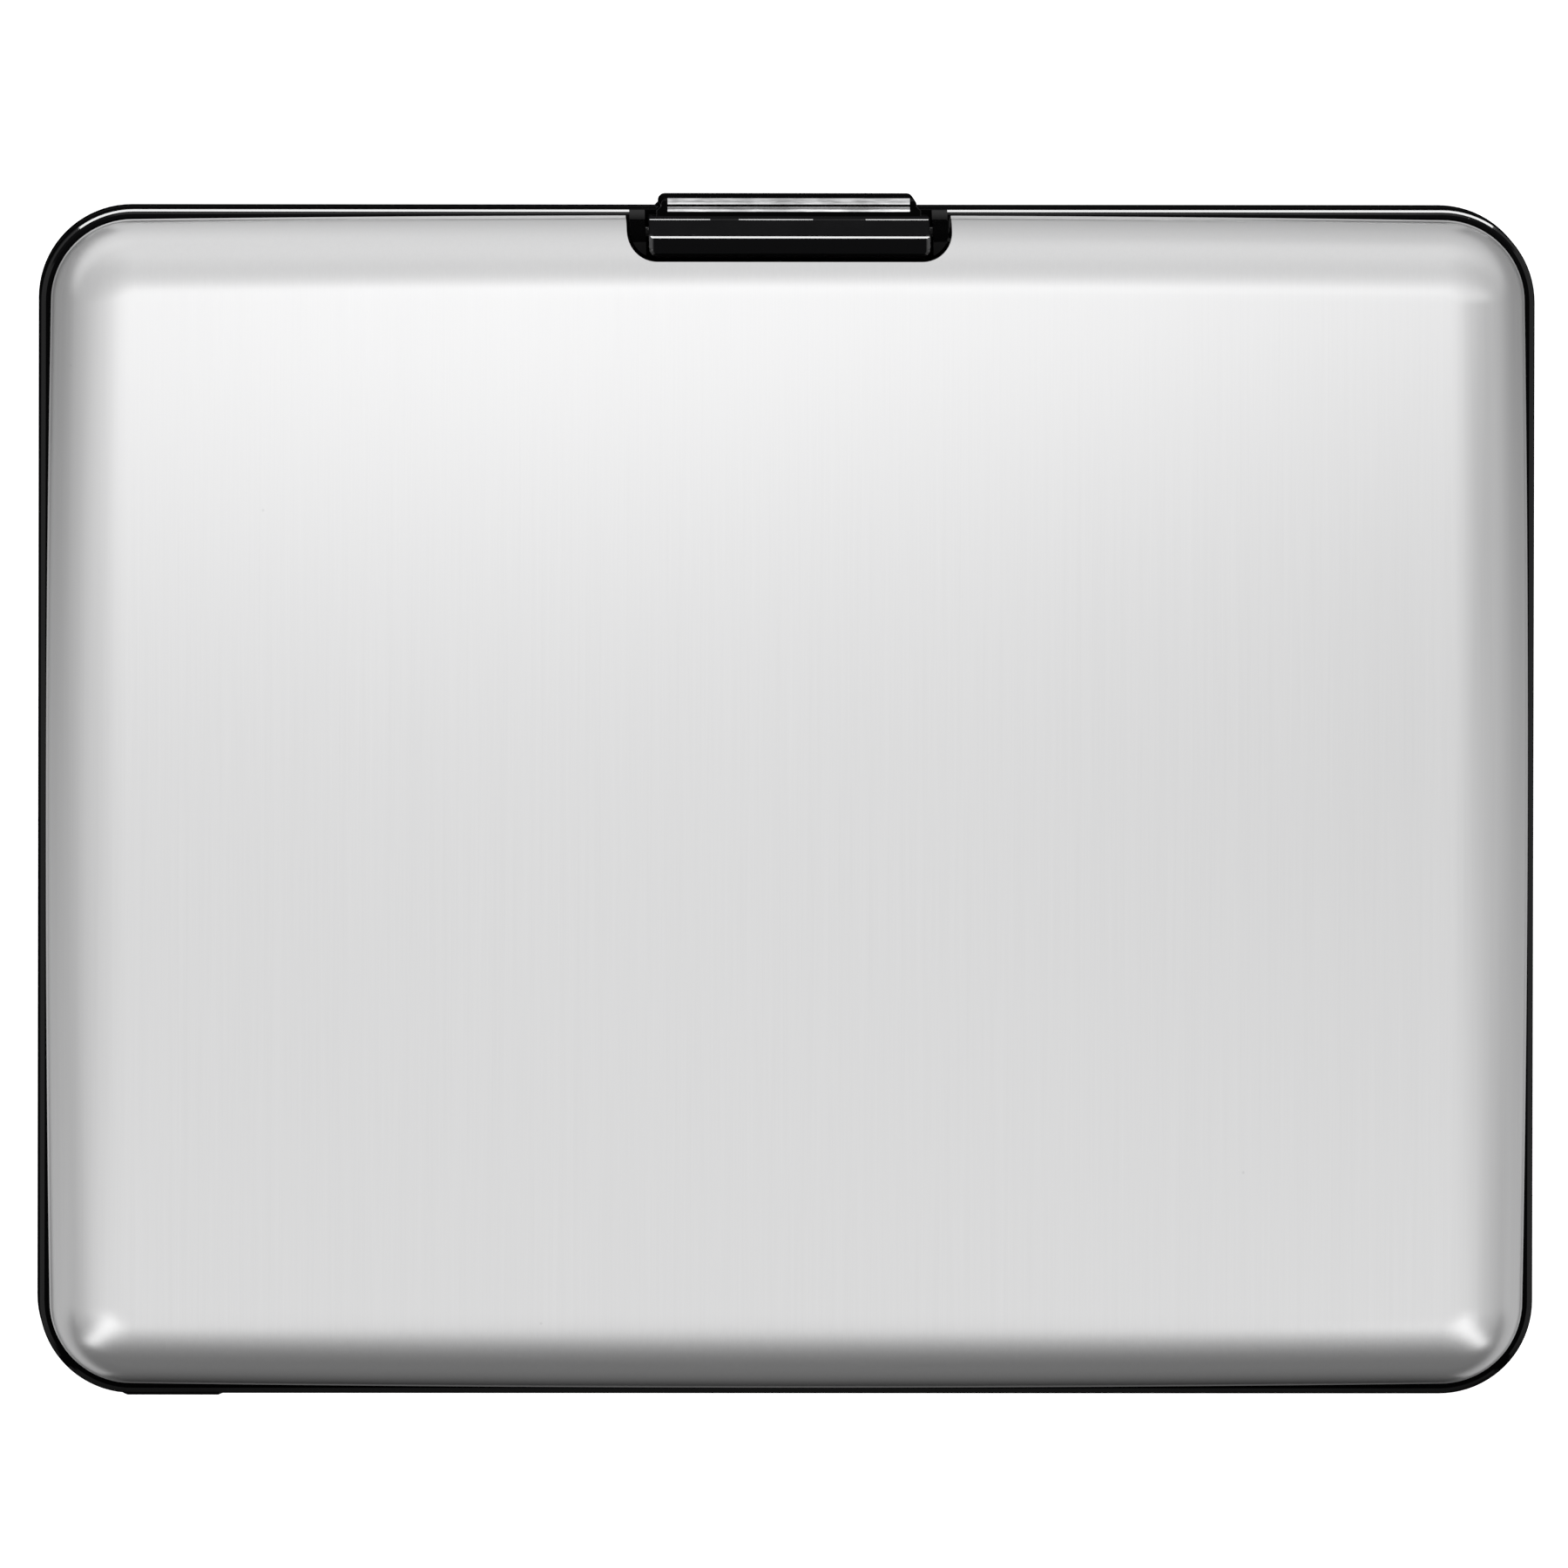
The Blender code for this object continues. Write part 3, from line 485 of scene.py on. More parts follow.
# The hinge: barrels moulded onto both rings in turn, on one steel pin. The end barrels run into
# the rounded corners of the case, and the left one carries a boss that stands slightly proud.
case_y = CASE_CENTRE_Y + CASE_CORNER
case_plan = oblong(CASE_CENTRE_X + CASE_CORNER, -case_y, case_y)
for count, (low, high, body) in enumerate(knuckles):
    bm = barrel(low + KNUCKLE_HALF_GAP, high - KNUCKLE_HALF_GAP, BARREL)
    knuckle = as_piece(f"hinge_barrel_{count + 1}", bm, black_plastic)
    if abs(low + high) / 2 > third_end:
        case = plate(case_plan, (0, 1, 2, 3), CASE_CORNER, 0.0, CASE_DEPTH, 24)
        shape_with(knuckle, case, "INTERSECT")
    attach(knuckle, body)
boss = as_piece("hinge_end_boss", barrel(*BOSS_X, BOSS, 0.0005), black_plastic)
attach(boss, "back")


def drawn_steel(name, light, dark):
    """Drawn steel with fine lines along the bar."""
    material, tree, shader, place = new_material(name)
    lines = place_group(tree, brushed_lines, {"Vector": place, "Fineness": 9000.0, "Length": 0.2})
    shine = ranged(tree, lines.outputs["Lines"], 0.25, 0.75, 0.16, 0.32)
    tree.links.new(shine, shader.inputs["Roughness"])
    tone = blended(tree, lines.outputs["Streaks"], (*light, 1), (*dark, 1))
    tree.links.new(tone, shader.inputs["Base Color"])
    shader.inputs["Metallic"].default_value = 1.0
    return material


def rubbed_steel():
    """Polished steel with long rubbed marks and darker blotches."""
    material, tree, shader, place = new_material("polished_steel")
    stretch = {"Vector": place, "Scale": (0.12, 1.0, 1.0)}
    stretched = add_node(tree, "ShaderNodeMapping", stretch, vector_type="POINT").outputs[0]
    marks = noise(tree, stretched, 5200.0, 4.0)
    blotched = number(tree, "MULTIPLY", marks, noise(tree, place, 330.0, 3.0))
    tone = ranged(tree, blotched, 0.16, 0.34, 0.55, 0.95)
    tree.links.new(times(tree, (0.9, 0.9, 0.91), tone), shader.inputs["Base Color"])
    tree.links.new(ranged(tree, marks, 0.0, 1.0, 0.3, 0.08), shader.inputs["Roughness"])
    shader.inputs["Metallic"].default_value = 1.0
    return material


steel = drawn_steel("bright_steel", (0.62, 0.62, 0.63), (0.5, 0.5, 0.5))
dark_steel = drawn_steel("dark_steel", (0.012, 0.012, 0.012), (0.008, 0.008, 0.008))
polished_steel = rubbed_steel()
for node, metal in (("hinge_pin", steel), ("clasp_pin", dark_steel), ("clasp_spring", dark_steel)):
    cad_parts[node].data.materials.clear()
    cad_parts[node].data.materials.append(metal)

# The clasp's housing, moulded in one with the front ring: two cheeks that follow the shell's
# curve just under its skin, a floor and a back wall. Its outer edge is slightly rounded.
HOUSING_FLOOR_Z = 0.0158
HOUSING_GAP = 0.0003
HOUSING_SET = 0.00015
HOUSING_BACK_Y = 0.0441
HOUSING_BACK_TOP_Z = 0.0211
HOUSING_EDGE = [(0.04955, 0.0173), (0.0493, 0.01756), (0.0490, 0.01782), (0.04878, 0.018)]
SKIN_FROM_Y = 0.040
SKIN_FROM_RISE = 0.0013
SHARP_ENOUGH = math.radians(35)
CHAMFER_ENOUGH = math.radians(55)
CHAMFER_SHARP = math.radians(4)


def prism_along_x(points, low, high):
    """A bar along X whose section is given as (y, z) points."""
    bm = bmesh.new()
    face = bm.faces.new([bm.verts.new((low, y, z)) for y, z in points])
    grown = bmesh.ops.extrude_face_region(bm, geom=[face])["geom"]
    moved = [g for g in grown if isinstance(g, bmesh.types.BMVert)]
    bmesh.ops.translate(bm, verts=moved, vec=(high - low, 0, 0))
    bmesh.ops.recalc_face_normals(bm, faces=bm.faces)
    return bm


def soften(piece, width):
    """Round the piece's sharp edges a little."""
    bevel = piece.modifiers.new("broken_edges", "BEVEL")
    bevel.width = width
    bevel.segments = 3
    bevel.limit_method = "ANGLE"
    bevel.angle_limit = SHARP_ENOUGH
    bevel.harden_normals = True


def chamfer(piece, width, beyond=0):
    """Cut the sharp edges that reach beyond a distance from the middle to narrow flat faces."""
    bm = bmesh.new()
    bm.from_mesh(piece.data)
    sharp = [e for e in bm.edges if e.is_manifold and e.calc_face_angle() > CHAMFER_ENOUGH]
    edges = [e for e in sharp if any(abs(v.co.x) > beyond for v in e.verts)]
    bmesh.ops.bevel(bm, geom=edges, offset=width, segments=1, profile=0.5, affect="EDGES", material=-1)
    bm.to_mesh(piece.data)
    bm.free()
    piece.data.shade_smooth()
    piece.data.set_sharp_from_angle(angle=CHAMFER_SHARP)


def housing_black_plastic():
    """The gloss black, duller towards the finger pad, where hands rub it and dust gathers."""
    material = gloss_black_plastic("housing_black_plastic")
    tree = material.node_tree
    place = add_node(tree, "ShaderNodeTexCoord").outputs["Object"]
    height = add_node(tree, "ShaderNodeSeparateXYZ", {0: place}).outputs["Y"]
    mirror = ranged(tree, height, 0.0485, 0.0496, 0.06, 0.45, interpolation_type="SMOOTHSTEP")
    tree.links.new(mirror, tree.nodes["Principled BSDF"].inputs["Specular IOR Level"])
    return material


housing_plastic = housing_black_plastic()
half = NOTCH_HALF - HOUSING_GAP
housing_y = NOTCH_Y + HOUSING_GAP
housing_plan = oblong(half, housing_y, PAST_Y)
bm = plate(housing_plan, (0, 1), NOTCH_CORNER - HOUSING_GAP, HOUSING_FLOOR_Z, PAST_Z, 12)
housing = as_piece("clasp_housing", bm, housing_plastic)
rim_y = SHELL_CENTRE_Y + SHELL_CORNER + SHELL_BOW - HOUSING_SET
rim_z = PARTING_Z + SHELL_EDGE_RISE - HOUSING_SET
under_floor = HOUSING_FLOOR_Z - 0.001
under_skin = [(SKIN_FROM_Y, under_floor), (HOUSING_EDGE[0][0], under_floor)] + HOUSING_EDGE
for across, rise in quarter_rim(RIM_WIDTH, RIM_HEIGHT, 24):
    if rise > SKIN_FROM_RISE:
        under_skin.append((rim_y - across, rim_z + rise))
under_skin.append((SKIN_FROM_Y, rim_z + RIM_HEIGHT))
shape_with(housing, prism_along_x(under_skin, -0.02, 0.02), "INTERSECT")
pocket = block((-POCKET_HALF, housing_y, POCKET_FLOOR_Z), (POCKET_HALF, PAST_Y, PAST_Z))
shape_with(housing, pocket, "DIFFERENCE")
soften(housing, 0.00015)
back_block = block((-half, HOUSING_BACK_Y, HOUSING_FLOOR_Z), (half, POCKET_Y, HOUSING_BACK_TOP_Z))
back_wall = as_piece("clasp_housing_back", back_block, housing_plastic)
soften(back_wall, 0.0001)
for piece in (housing, back_wall):
    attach(piece, "lid")

# The clasp: one gloss black moulding that rocks on a steel pin between the cheeks. It has a
# finger pad, a stepped body, and a strap with a long window that reaches over the case's edge.
ROCKER_HALF = 0.01175
ROCKER_SECTION = [
    (0.0458, 0.0227),
    (0.04605, 0.0232),
    (0.0474, 0.02277),
    (0.04755, 0.02262),
    (0.047725, 0.0215),
    (0.04882, 0.02009),
    (0.04888, 0.02003),
    (0.0491, 0.01972),
    (0.0491, 0.01715),
    (0.0488, 0.01715),
    (0.0485, 0.0183),
    (0.0467, 0.0183),
    (0.0464, 0.0212),
    (0.0458, 0.0217),
]
ARM_SECTION = [
    (0.04865, 0.01715),
    (0.0502, 0.01715),
    (0.0499, 0.0168),
    (0.0499, 0.0096),
    (0.0490, 0.0096),
    (0.0490, 0.0092),
    (0.0499, 0.0084),
    (0.0503, 0.0084),
    (0.0506, 0.0087),
    (0.0506, 0.0140),
    (0.05057, 0.0186),
    (0.0504, 0.0189),
    (0.0500, 0.0189),
    (0.04865, 0.0189),
]
STRAP_HALF = 0.0107
STRAP_FLARE = 0.00035
WINDOW_HALF = 0.01013
WINDOW_Y = (0.04945, 0.05044)
WINDOW_FLOOR_Z = 0.0165
LINER_SEAT_Z = 0.0186
PAD_CORNER = 0.0008
PAD_FACET = 0.00026
PAD_FACET_LIFT = 0.00006
PAD_END_Y = 0.04757
PAD_TOP_Z = 0.0225
STRAP_CORNER = 0.0006
CLASP_SHARP = 15
STEP_EDGE = (0.04888, 0.02003)
# Along the step's edge: (place, how far the edge is worn up).
STEP_WEAR = [
    (-0.0095, 0.0),
    (-0.0078, 0.0),
    (-0.0066, 0.000016),
    (-0.0042, 0.000017),
    (-0.0028, 0.0),
    (-0.0009, 0.000004),
    (0.0004, 0.0),
    (0.0020, 0.000017),
    (0.0052, 0.000017),
    (0.0064, 0.000006),
    (0.0096, 0.0),
]


def clasp_painted_highlight_plastic():
    """The gloss black, with a painted highlight: the sides of the finger pad are coloured lighter grey."""
    material = gloss_black_plastic("clasp_painted_highlight_plastic")
    tree = material.node_tree
    place = add_node(tree, "ShaderNodeTexCoord").outputs["Object"]
    parts = add_node(tree, "ShaderNodeSeparateXYZ", {0: place}).outputs
    # Painted highlight: the pad's narrow side facets are coloured lighter grey, standing in for the light
    # they catch.
    side_highlight_share = 1.0
    for value, start, end in (
        (number(tree, "ABSOLUTE", parts["X"]), 0.01135, 0.01158),
        (parts["Y"], 0.04582, 0.0461),
        (parts["Y"], 0.0477, 0.04742),
    ):
        share = ranged(tree, value, start, end, interpolation_type="SMOOTHSTEP")
        side_highlight_share = number(tree, "MULTIPLY", share, side_highlight_share)
    colour_input = tree.nodes["Principled BSDF"].inputs["Base Color"]
    plain = colour_input.links[0].from_socket
    tree.links.new(blended(tree, side_highlight_share, plain, (0.07, 0.07, 0.071, 1)), colour_input)
    return material


def wear_rocker(piece):
    """Cut the pad's sides to narrow facets and wear the step's edge unevenly."""
    bm = bmesh.new()
    bm.from_mesh(piece.data)
    ends = {v for v in bm.verts if abs(v.co.x) > ROCKER_HALF - 0.0005}
    rims = {v for v in ends if v.co.z > PAD_TOP_Z and v.co.y < PAD_END_Y}
    sides = {f for f in bm.faces if abs(f.normal.x) > 0.2}
    tops = {f for f in bm.faces if f.normal.z > 0.9}
    pad_sides = [
        e
        for e in bm.edges
        if e.is_manifold and rims.issuperset(e.verts) and sides & {*e.link_faces} and tops & {*e.link_faces}
    ]
    made = bmesh.ops.bevel(
        bm, geom=pad_sides, offset=PAD_FACET, segments=1, profile=0.5, affect="EDGES", material=-1
    )
    for vert in made["verts"]:
        if abs(vert.co.x) > ROCKER_HALF - 0.00001:
            vert.co.z += PAD_FACET_LIFT
    for across, _ in STEP_WEAR:
        cut = bm.verts[:] + bm.edges[:] + bm.faces[:]
        bmesh.ops.bisect_plane(bm, geom=cut, dist=1e-7, plane_co=(across, 0, 0), plane_no=(1, 0, 0))
    for vert in bm.verts:
        if max(abs(vert.co.y - STEP_EDGE[0]), abs(vert.co.z - STEP_EDGE[1])) < 0.00002:
            for across, wear in STEP_WEAR:
                if abs(vert.co.x - across) < 0.00001:
                    vert.co.z += wear
    bm.to_mesh(piece.data)
    bm.free()


painted_highlight_plastic = clasp_painted_highlight_plastic()
rocker_bar = prism_along_x(ROCKER_SECTION, -ROCKER_HALF, ROCKER_HALF)
rocker = as_piece("clasp_rocker_body", rocker_bar, painted_highlight_plastic)
pad_y = ROCKER_SECTION[0][0]
plan = plate(oblong(ROCKER_HALF, pad_y, PAST_Y), (0, 1), PAD_CORNER, 0.01, PAST_Z, 24)
shape_with(rocker, plan, "INTERSECT", CLASP_SHARP)
wear_rocker(rocker)
chamfer(rocker, 0.0001)
strap = as_piece("clasp_strap", prism_along_x(ARM_SECTION, -ROCKER_HALF, ROCKER_HALF), black_plastic)
wide = STRAP_HALF + STRAP_FLARE
strap_plan = [
    (-wide, 0.0477),
    (wide, 0.0477),
    (wide, 0.04955),
    (STRAP_HALF, 0.0499),
    (STRAP_HALF, 0.0506),
    (-STRAP_HALF, 0.0506),
    (-STRAP_HALF, 0.0499),
    (-wide, 0.04955),
]
plan = plate(strap_plan, (4, 5), STRAP_CORNER, 0.005, PAST_Z, 24)
shape_with(strap, plan, "INTERSECT", CLASP_SHARP)
window_section = [
    (WINDOW_Y[0], WINDOW_FLOOR_Z),
    (WINDOW_Y[1], WINDOW_FLOOR_Z),
    (WINDOW_Y[1], LINER_SEAT_Z),
    (PAST_Y, LINER_SEAT_Z),
    (PAST_Y, CASE_DEPTH),
    (WINDOW_Y[0], CASE_DEPTH),
]
window = prism_along_x(window_section, -WINDOW_HALF, WINDOW_HALF)
shape_with(strap, window, "DIFFERENCE", CLASP_SHARP)
chamfer(strap, 0.00003, WINDOW_HALF + 0.00001)
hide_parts("clasp")
for piece in (rocker, strap):
    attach(piece, "clasp_rocker")

# The bright liner in the strap's window: two narrow strips of polished steel pressed in side by
# side, with a dark gap between them. The outer one's edge laps over the strap's outer bar.
LINER_SECTIONS = [
    [
        (0.05057, 0.01862),
        (0.05045, 0.01875),
        (0.05022, 0.01869),
        (0.05007, 0.01868),
        (0.05007, 0.0184),
        (0.05043, 0.0184),
        (0.05043, 0.01862),
    ],
    [
        (0.04987, 0.01887),
        (0.04964, 0.01881),
        (0.04961, 0.0189),
        (0.04947, 0.0189),
        (0.04947, 0.0184),
        (0.04987, 0.0184),
    ],
]
bed_block = block((-WINDOW_HALF, WINDOW_Y[0], 0.01715), (WINDOW_HALF, WINDOW_Y[1], 0.0184))
bed = as_piece("clasp_liner_bed", bed_block, black_plastic)
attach(bed, "clasp_rocker")
for count, section in enumerate(LINER_SECTIONS):
    bm = prism_along_x(section, -WINDOW_HALF, WINDOW_HALF)
    liner = as_piece(f"clasp_liner_{count + 1}", bm, polished_steel, 10)
    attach(liner, "clasp_rocker")

# The pouch's stiff leaves: a board glued inside each shell and six card-sized dividers between
# them, each with a thumb scoop at its mouth. They are dark fibre board faced with a fine weave.
MOUTH_Y = 0.0433
BOARD_WALL = 0.0008
DIVIDER_WALL = 0.0005
LEAF_CORNER = 0.003
BOARD_TOP = 0.0019
POCKETS = 7
LEAF_EDGE = (0.0582, 0.0446)
BOARD_EDGE = (0.057, 0.0441)
SCOOP_HALF = (0.0065, 0.009)
SCOOP_DEPTH = 0.0035
POCKET_CLEAR = (CASE_DEPTH - 2 * BOARD_TOP - (POCKETS - 1) * DIVIDER_WALL) / POCKETS


def weave_group():
    """A plain weave: the height of crossing threads, and how far each stands out."""
    group, entry, leave = new_group(
        "plain_weave",
        [("Vector", "NodeSocketVector", None), ("Threads", "NodeSocketFloat", 2200.0)],
        [("Height", "NodeSocketFloat"), ("Shade", "NodeSocketFloat")],
    )
    threads = times(group, entry.outputs["Vector"], entry.outputs["Threads"])
    parts = add_node(group, "ShaderNodeSeparateXYZ", {0: threads})
    waves = {}
    for axis in "XY":
        turned = number(group, "MULTIPLY", parts.outputs[axis], math.pi)
        waves[axis] = number(group, "SINE", turned)
    height = ranged(group, number(group, "MULTIPLY", waves["X"], waves["Y"]), -1.0, 1.0)
    wear = noise(group, entry.outputs["Vector"], 160.0, 4.0)
    group.links.new(height, leave.inputs["Height"])
    group.links.new(number(group, "MULTIPLY", height, wear), leave.inputs["Shade"])
    return group


plain_weave = weave_group()


def woven(name, dark, light, threads, uv_map=None):
    """Matt woven cloth or cloth-faced board."""
    material, tree, shader, place = new_material(name)
    if uv_map:
        place = add_node(tree, "ShaderNodeUVMap", uv_map=uv_map).outputs[0]
    weave = place_group(tree, plain_weave, {"Vector": place, "Threads": threads})
    colour = blended(tree, weave.outputs["Shade"], (*dark, 1), (*light, 1))
    tree.links.new(colour, shader.inputs["Base Color"])
    shine = ranged(tree, weave.outputs["Shade"], 0.0, 1.0, 0.85, 0.55)
    tree.links.new(shine, shader.inputs["Roughness"])
    bumped(tree, shader, weave.outputs["Height"], 0.6, 0.00005)
    return material


board_cloth = woven("woven_board", (0.03, 0.03, 0.032), (0.14, 0.14, 0.145), 2400.0)
for name, body, node, low in (
    ("back_board_face", "back", "pouch_back_board", BOARD_TOP - BOARD_WALL),
    ("front_board_face", "lid", "pouch_front_board", CASE_DEPTH - BOARD_TOP),
):
    plan = oblong(BOARD_EDGE[0], -BOARD_EDGE[1], MOUTH_Y)
    leaf = as_piece(name, plate(plan, (0, 1, 2, 3), LEAF_CORNER, low, low + BOARD_WALL), board_cloth)
    soften(leaf, 0.0002)
    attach(leaf, body)
    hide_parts(node)


def leaf_z(count):
    """The middle height of a divider, counted from 1 at the back."""
    return BOARD_TOP + count * POCKET_CLEAR + (count - 0.5) * DIVIDER_WALL


for count in range(1, POCKETS):
    middle = leaf_z(count)
    plan = oblong(LEAF_EDGE[0], -LEAF_EDGE[1], MOUTH_Y)
    plan[3:3] = [
        (SCOOP_HALF[1], MOUTH_Y),
        (SCOOP_HALF[0], MOUTH_Y - SCOOP_DEPTH),
        (-SCOOP_HALF[0], MOUTH_Y - SCOOP_DEPTH),
        (-SCOOP_HALF[1], MOUTH_Y),
    ]
    bm = plate(plan, (0, 1, 2, 7), LEAF_CORNER, middle - DIVIDER_WALL / 2, middle + DIVIDER_WALL / 2)
    leaf = as_piece(f"divider_leaf_{count}", bm, board_cloth)
    soften(leaf, 0.00015)
    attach(leaf, f"leaf_{count}")
    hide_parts(f"divider_{count}")

# The gusset: one thin coated cloth strip for each pocket, folded to a V and glued round the
# edges of the two leaves beside it, down one side, along the hinge and up the other side.
STRIP_OUTSIDE = 0.0002
STRIP_WALL = 0.0002
STRIP_MOUTH_FOLD = 0.010
STRIP_REAR_FOLD = 0.0024
STRIP_LENGTH = 0.2895
STRIP_CUT = (0.0206, STRIP_LENGTH)
STRIP_STEPS = 150
# Across a strip: (how far along the fold's leg, share of the way up to the next leaf).
STRIP_SHAPE = [
    (0.0, 0.0),
    (0.0, 0.075),
    (0.035, 0.125),
    (0.18, 0.155),
    (0.5, 0.23),
    (0.8, 0.31),
    (0.95, 0.39),
    (1.0, 0.5),
    (0.95, 0.61),
    (0.8, 0.69),
    (0.5, 0.77),
    (0.18, 0.845),
    (0.035, 0.875),
    (0.0, 0.925),
    (0.0, 1.0),
]


def strip_path(edge, inset, along):
    """A point on the U round the leaves, moved in by the inset; along runs from 0 to 1."""
    half, rear = edge[0] + STRIP_OUTSIDE, edge[1] + STRIP_OUTSIDE
    corner = LEAF_CORNER + STRIP_OUTSIDE
    side = MOUTH_Y + rear - corner
    quarter = corner * math.pi / 2
    width = half - corner
    total = side + quarter + width
    gone = total * (1 - abs(2 * along - 1))
    if gone <= side:
        x, y = half - inset, MOUTH_Y - gone
    elif gone <= side + quarter:
        angle = (gone - side) / corner
        x = width + (corner - inset) * math.cos(angle)
        y = corner - rear - (corner - inset) * math.sin(angle)
    else:
        x, y = total - gone, inset - rear
    return (-x if along < 0.5 else x), y, min(gone / side, 1.0)


def gusset_strip(count):
    """The folded strip of one pocket, counted from 0 at the back board."""
    low_z = leaf_z(count) if count else BOARD_TOP - BOARD_WALL / 2
    high_z = leaf_z(count + 1) if count < POCKETS - 1 else CASE_DEPTH - BOARD_TOP + BOARD_WALL / 2
    low_edge = LEAF_EDGE if count else BOARD_EDGE
    high_edge = LEAF_EDGE if count < POCKETS - 1 else BOARD_EDGE
    bm = bmesh.new()
    flat = Matrix.Translation((0.5, 0.5, 0))
    bmesh.ops.create_grid(
        bm, x_segments=STRIP_STEPS, y_segments=len(STRIP_SHAPE) - 1, size=0.5, matrix=flat
    )
    cloth = bm.loops.layers.uv.new("cloth")
    for face in bm.faces:
        for loop in face.loops:
            loop[cloth].uv = (loop.vert.co.x * STRIP_LENGTH, loop.vert.co.y * STRIP_CUT[0])
    for vert in bm.verts:
        along = vert.co.x
        leg, rise = STRIP_SHAPE[round(vert.co.y * (len(STRIP_SHAPE) - 1))]
        down = strip_path(low_edge, 0, along)[2]
        fold = STRIP_MOUTH_FOLD + (STRIP_REAR_FOLD - STRIP_MOUTH_FOLD) * down
        crease = 1 + 0.012 * math.sin(along * 151 + count * 1.7) + 0.01 * math.sin(along * 389 + count)
        inset = leg * fold * crease
        low_x, low_y, _ = strip_path(low_edge, inset, along)
        high_x, high_y, _ = strip_path(high_edge, inset, along)
        slack = 0.00006 * math.sin(along * 97 + count * 2.1) * math.sin(leg * math.pi)
        vert.co = (
            low_x + (high_x - low_x) * rise,
            low_y + (high_y - low_y) * rise,
            low_z + (high_z - low_z) * rise + slack,
        )
    strip = as_piece(f"gusset_strip_{count + 1}", bm, gusset_cloth, 180)
    cloth_wall = strip.modifiers.new("cloth", "SOLIDIFY")
    cloth_wall.thickness = STRIP_WALL
    cloth_wall.offset = 0
    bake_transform(strip)
    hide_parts("gusset_left", "gusset_right", "pouch_bottom")


gusset_cloth = woven("gusset_cloth", (0.022, 0.022, 0.024), (0.11, 0.11, 0.115), 2600.0, "cloth")
for count in range(POCKETS):
    gusset_strip(count)

# The setting: a plain pale floor, a soft sky, a wide lit ceiling that is brightest near the clasp,
# and lit cards on the floor round the wallet, which only reflections see. Next to the wallet on the
# hinge side the card is nearly black, a painted contact shadow. Low strip lamps draw the thin
# bright lines along the black plastic's edges and light nothing else.
black_pieces = [
    piece
    for piece in bpy.context.scene.objects
    if piece.type == "MESH"
    and piece.data.materials
    and piece.data.materials[0] in (black_plastic, housing_plastic, painted_highlight_plastic)
]
edge_pieces = [piece for piece in black_pieces if piece not in (housing, back_wall)]
FLOOR_HALF = 3.0


def linked(lamp, pieces, state):
    """Let a lamp or lit card light only these pieces, or all but these."""
    group = bpy.data.collections.new(lamp.name + "_pieces")
    for piece in pieces:
        group.objects.link(piece)
    for member in group.collection_objects:
        member.light_linking.link_state = state
    lamp.light_linking.receiver_collection = group


def profile(tree, value, points):
    """A smooth curve through (value, result) points."""
    first, last = points[0][0], points[-1][0]
    top = max(level for _, level in points)
    node = add_node(tree, "ShaderNodeFloatCurve", {"Value": ranged(tree, value, first, last)})
    curve = node.mapping.curves[0]
    for count, (at, level) in enumerate(points):
        where = ((at - first) / (last - first), level / top)
        if 0 < count < len(points) - 1:
            curve.points.new(*where)
        else:
            curve.points[-1 if count else 0].location = where
    node.mapping.update()
    return number(tree, "MULTIPLY", node.outputs[0], top)


paper, tree, shader, place = new_material("white_paper")
shader.inputs["Base Color"].default_value = (0.8, 0.8, 0.8, 1)
shader.inputs["Roughness"].default_value = 0.9
rays = add_node(tree, "ShaderNodeLightPath").outputs
seen = number(tree, "MAXIMUM", rays["Is Camera Ray"], rays["Is Glossy Ray"])
seen = number(tree, "MAXIMUM", seen, rays["Is Transmission Ray"])
shader.inputs["Emission Color"].default_value = (1, 1, 1, 1)
tree.links.new(number(tree, "MULTIPLY", seen, 0.9), shader.inputs["Emission Strength"])
bm = bmesh.new()
below = Matrix.Translation((0, 0, -0.0001))
bmesh.ops.create_grid(bm, x_segments=1, y_segments=1, size=FLOOR_HALF, matrix=below)
floor = as_piece("floor", bm, paper)


def lit_paper(name, level_at):
    """Paper that only glows: level_at works out its level from the place on it."""
    glowing, tree, shader, place = new_material(name)
    shader.inputs["Base Color"].default_value = (0, 0, 0, 1)
    shader.inputs["Specular IOR Level"].default_value = 0.0
    shader.inputs["Emission Color"].default_value = (1, 1, 1, 1)
    parts = add_node(tree, "ShaderNodeSeparateXYZ", {0: place}).outputs
    tree.links.new(level_at(tree, parts["X"], parts["Y"]), shader.inputs["Emission Strength"])
    return glowing


def reflected_only(piece):
    """Keep a lit piece out of the camera's sight and off the black plastic."""
    piece.visible_camera = False
    piece.visible_shadow = False
    linked(piece, black_pieces, "EXCLUDE")


CLASP_SIDE = [
    (0.045, 0.33),
    (0.0509, 0.34),
    (0.0523, 0.42),
    (0.0558, 0.51),
    (0.0603, 0.53),
    (0.0666, 0.585),
    (0.0766, 0.65),
    (0.0964, 0.707),
    (0.162, 0.753),
    (0.5, 0.8),
]
# Next to the wallet this paper is almost black: a painted contact shadow seen only in reflections.
HINGE_SIDE = [
    (-0.5, 0.179),
    (-0.3, 0.179),
    (-0.121, 0.175),
    (-0.0857, 0.153),
    (-0.0714, 0.115),
    (-0.0633, 0.068),
    (-0.0578, 0.038),
    (-0.0537, 0.018),
    (-0.045, 0.015),
]
ENDS = [
    (0.055, 0.3),
    (0.0634, 0.4),
    (0.068, 0.44),
    (0.0786, 0.43),
    (0.088, 0.44),
    (0.106, 0.455),
    (0.16, 0.474),
    (0.5, 0.5),
]


def clasp_side_level(tree, x, y):
    """The clasp side's paper is a little brighter on the left."""
    turn = ranged(tree, x, -0.0625, 0.0625, 1.17, 0.89)
    return number(tree, "MULTIPLY", profile(tree, y, CLASP_SIDE), turn)


def hinge_side_level(tree, x, y):
    """The hinge side's paper is dark, and darkest next to the wallet: there it is a painted contact shadow,
    which only reflections see.
    """
    return profile(tree, y, HINGE_SIDE)


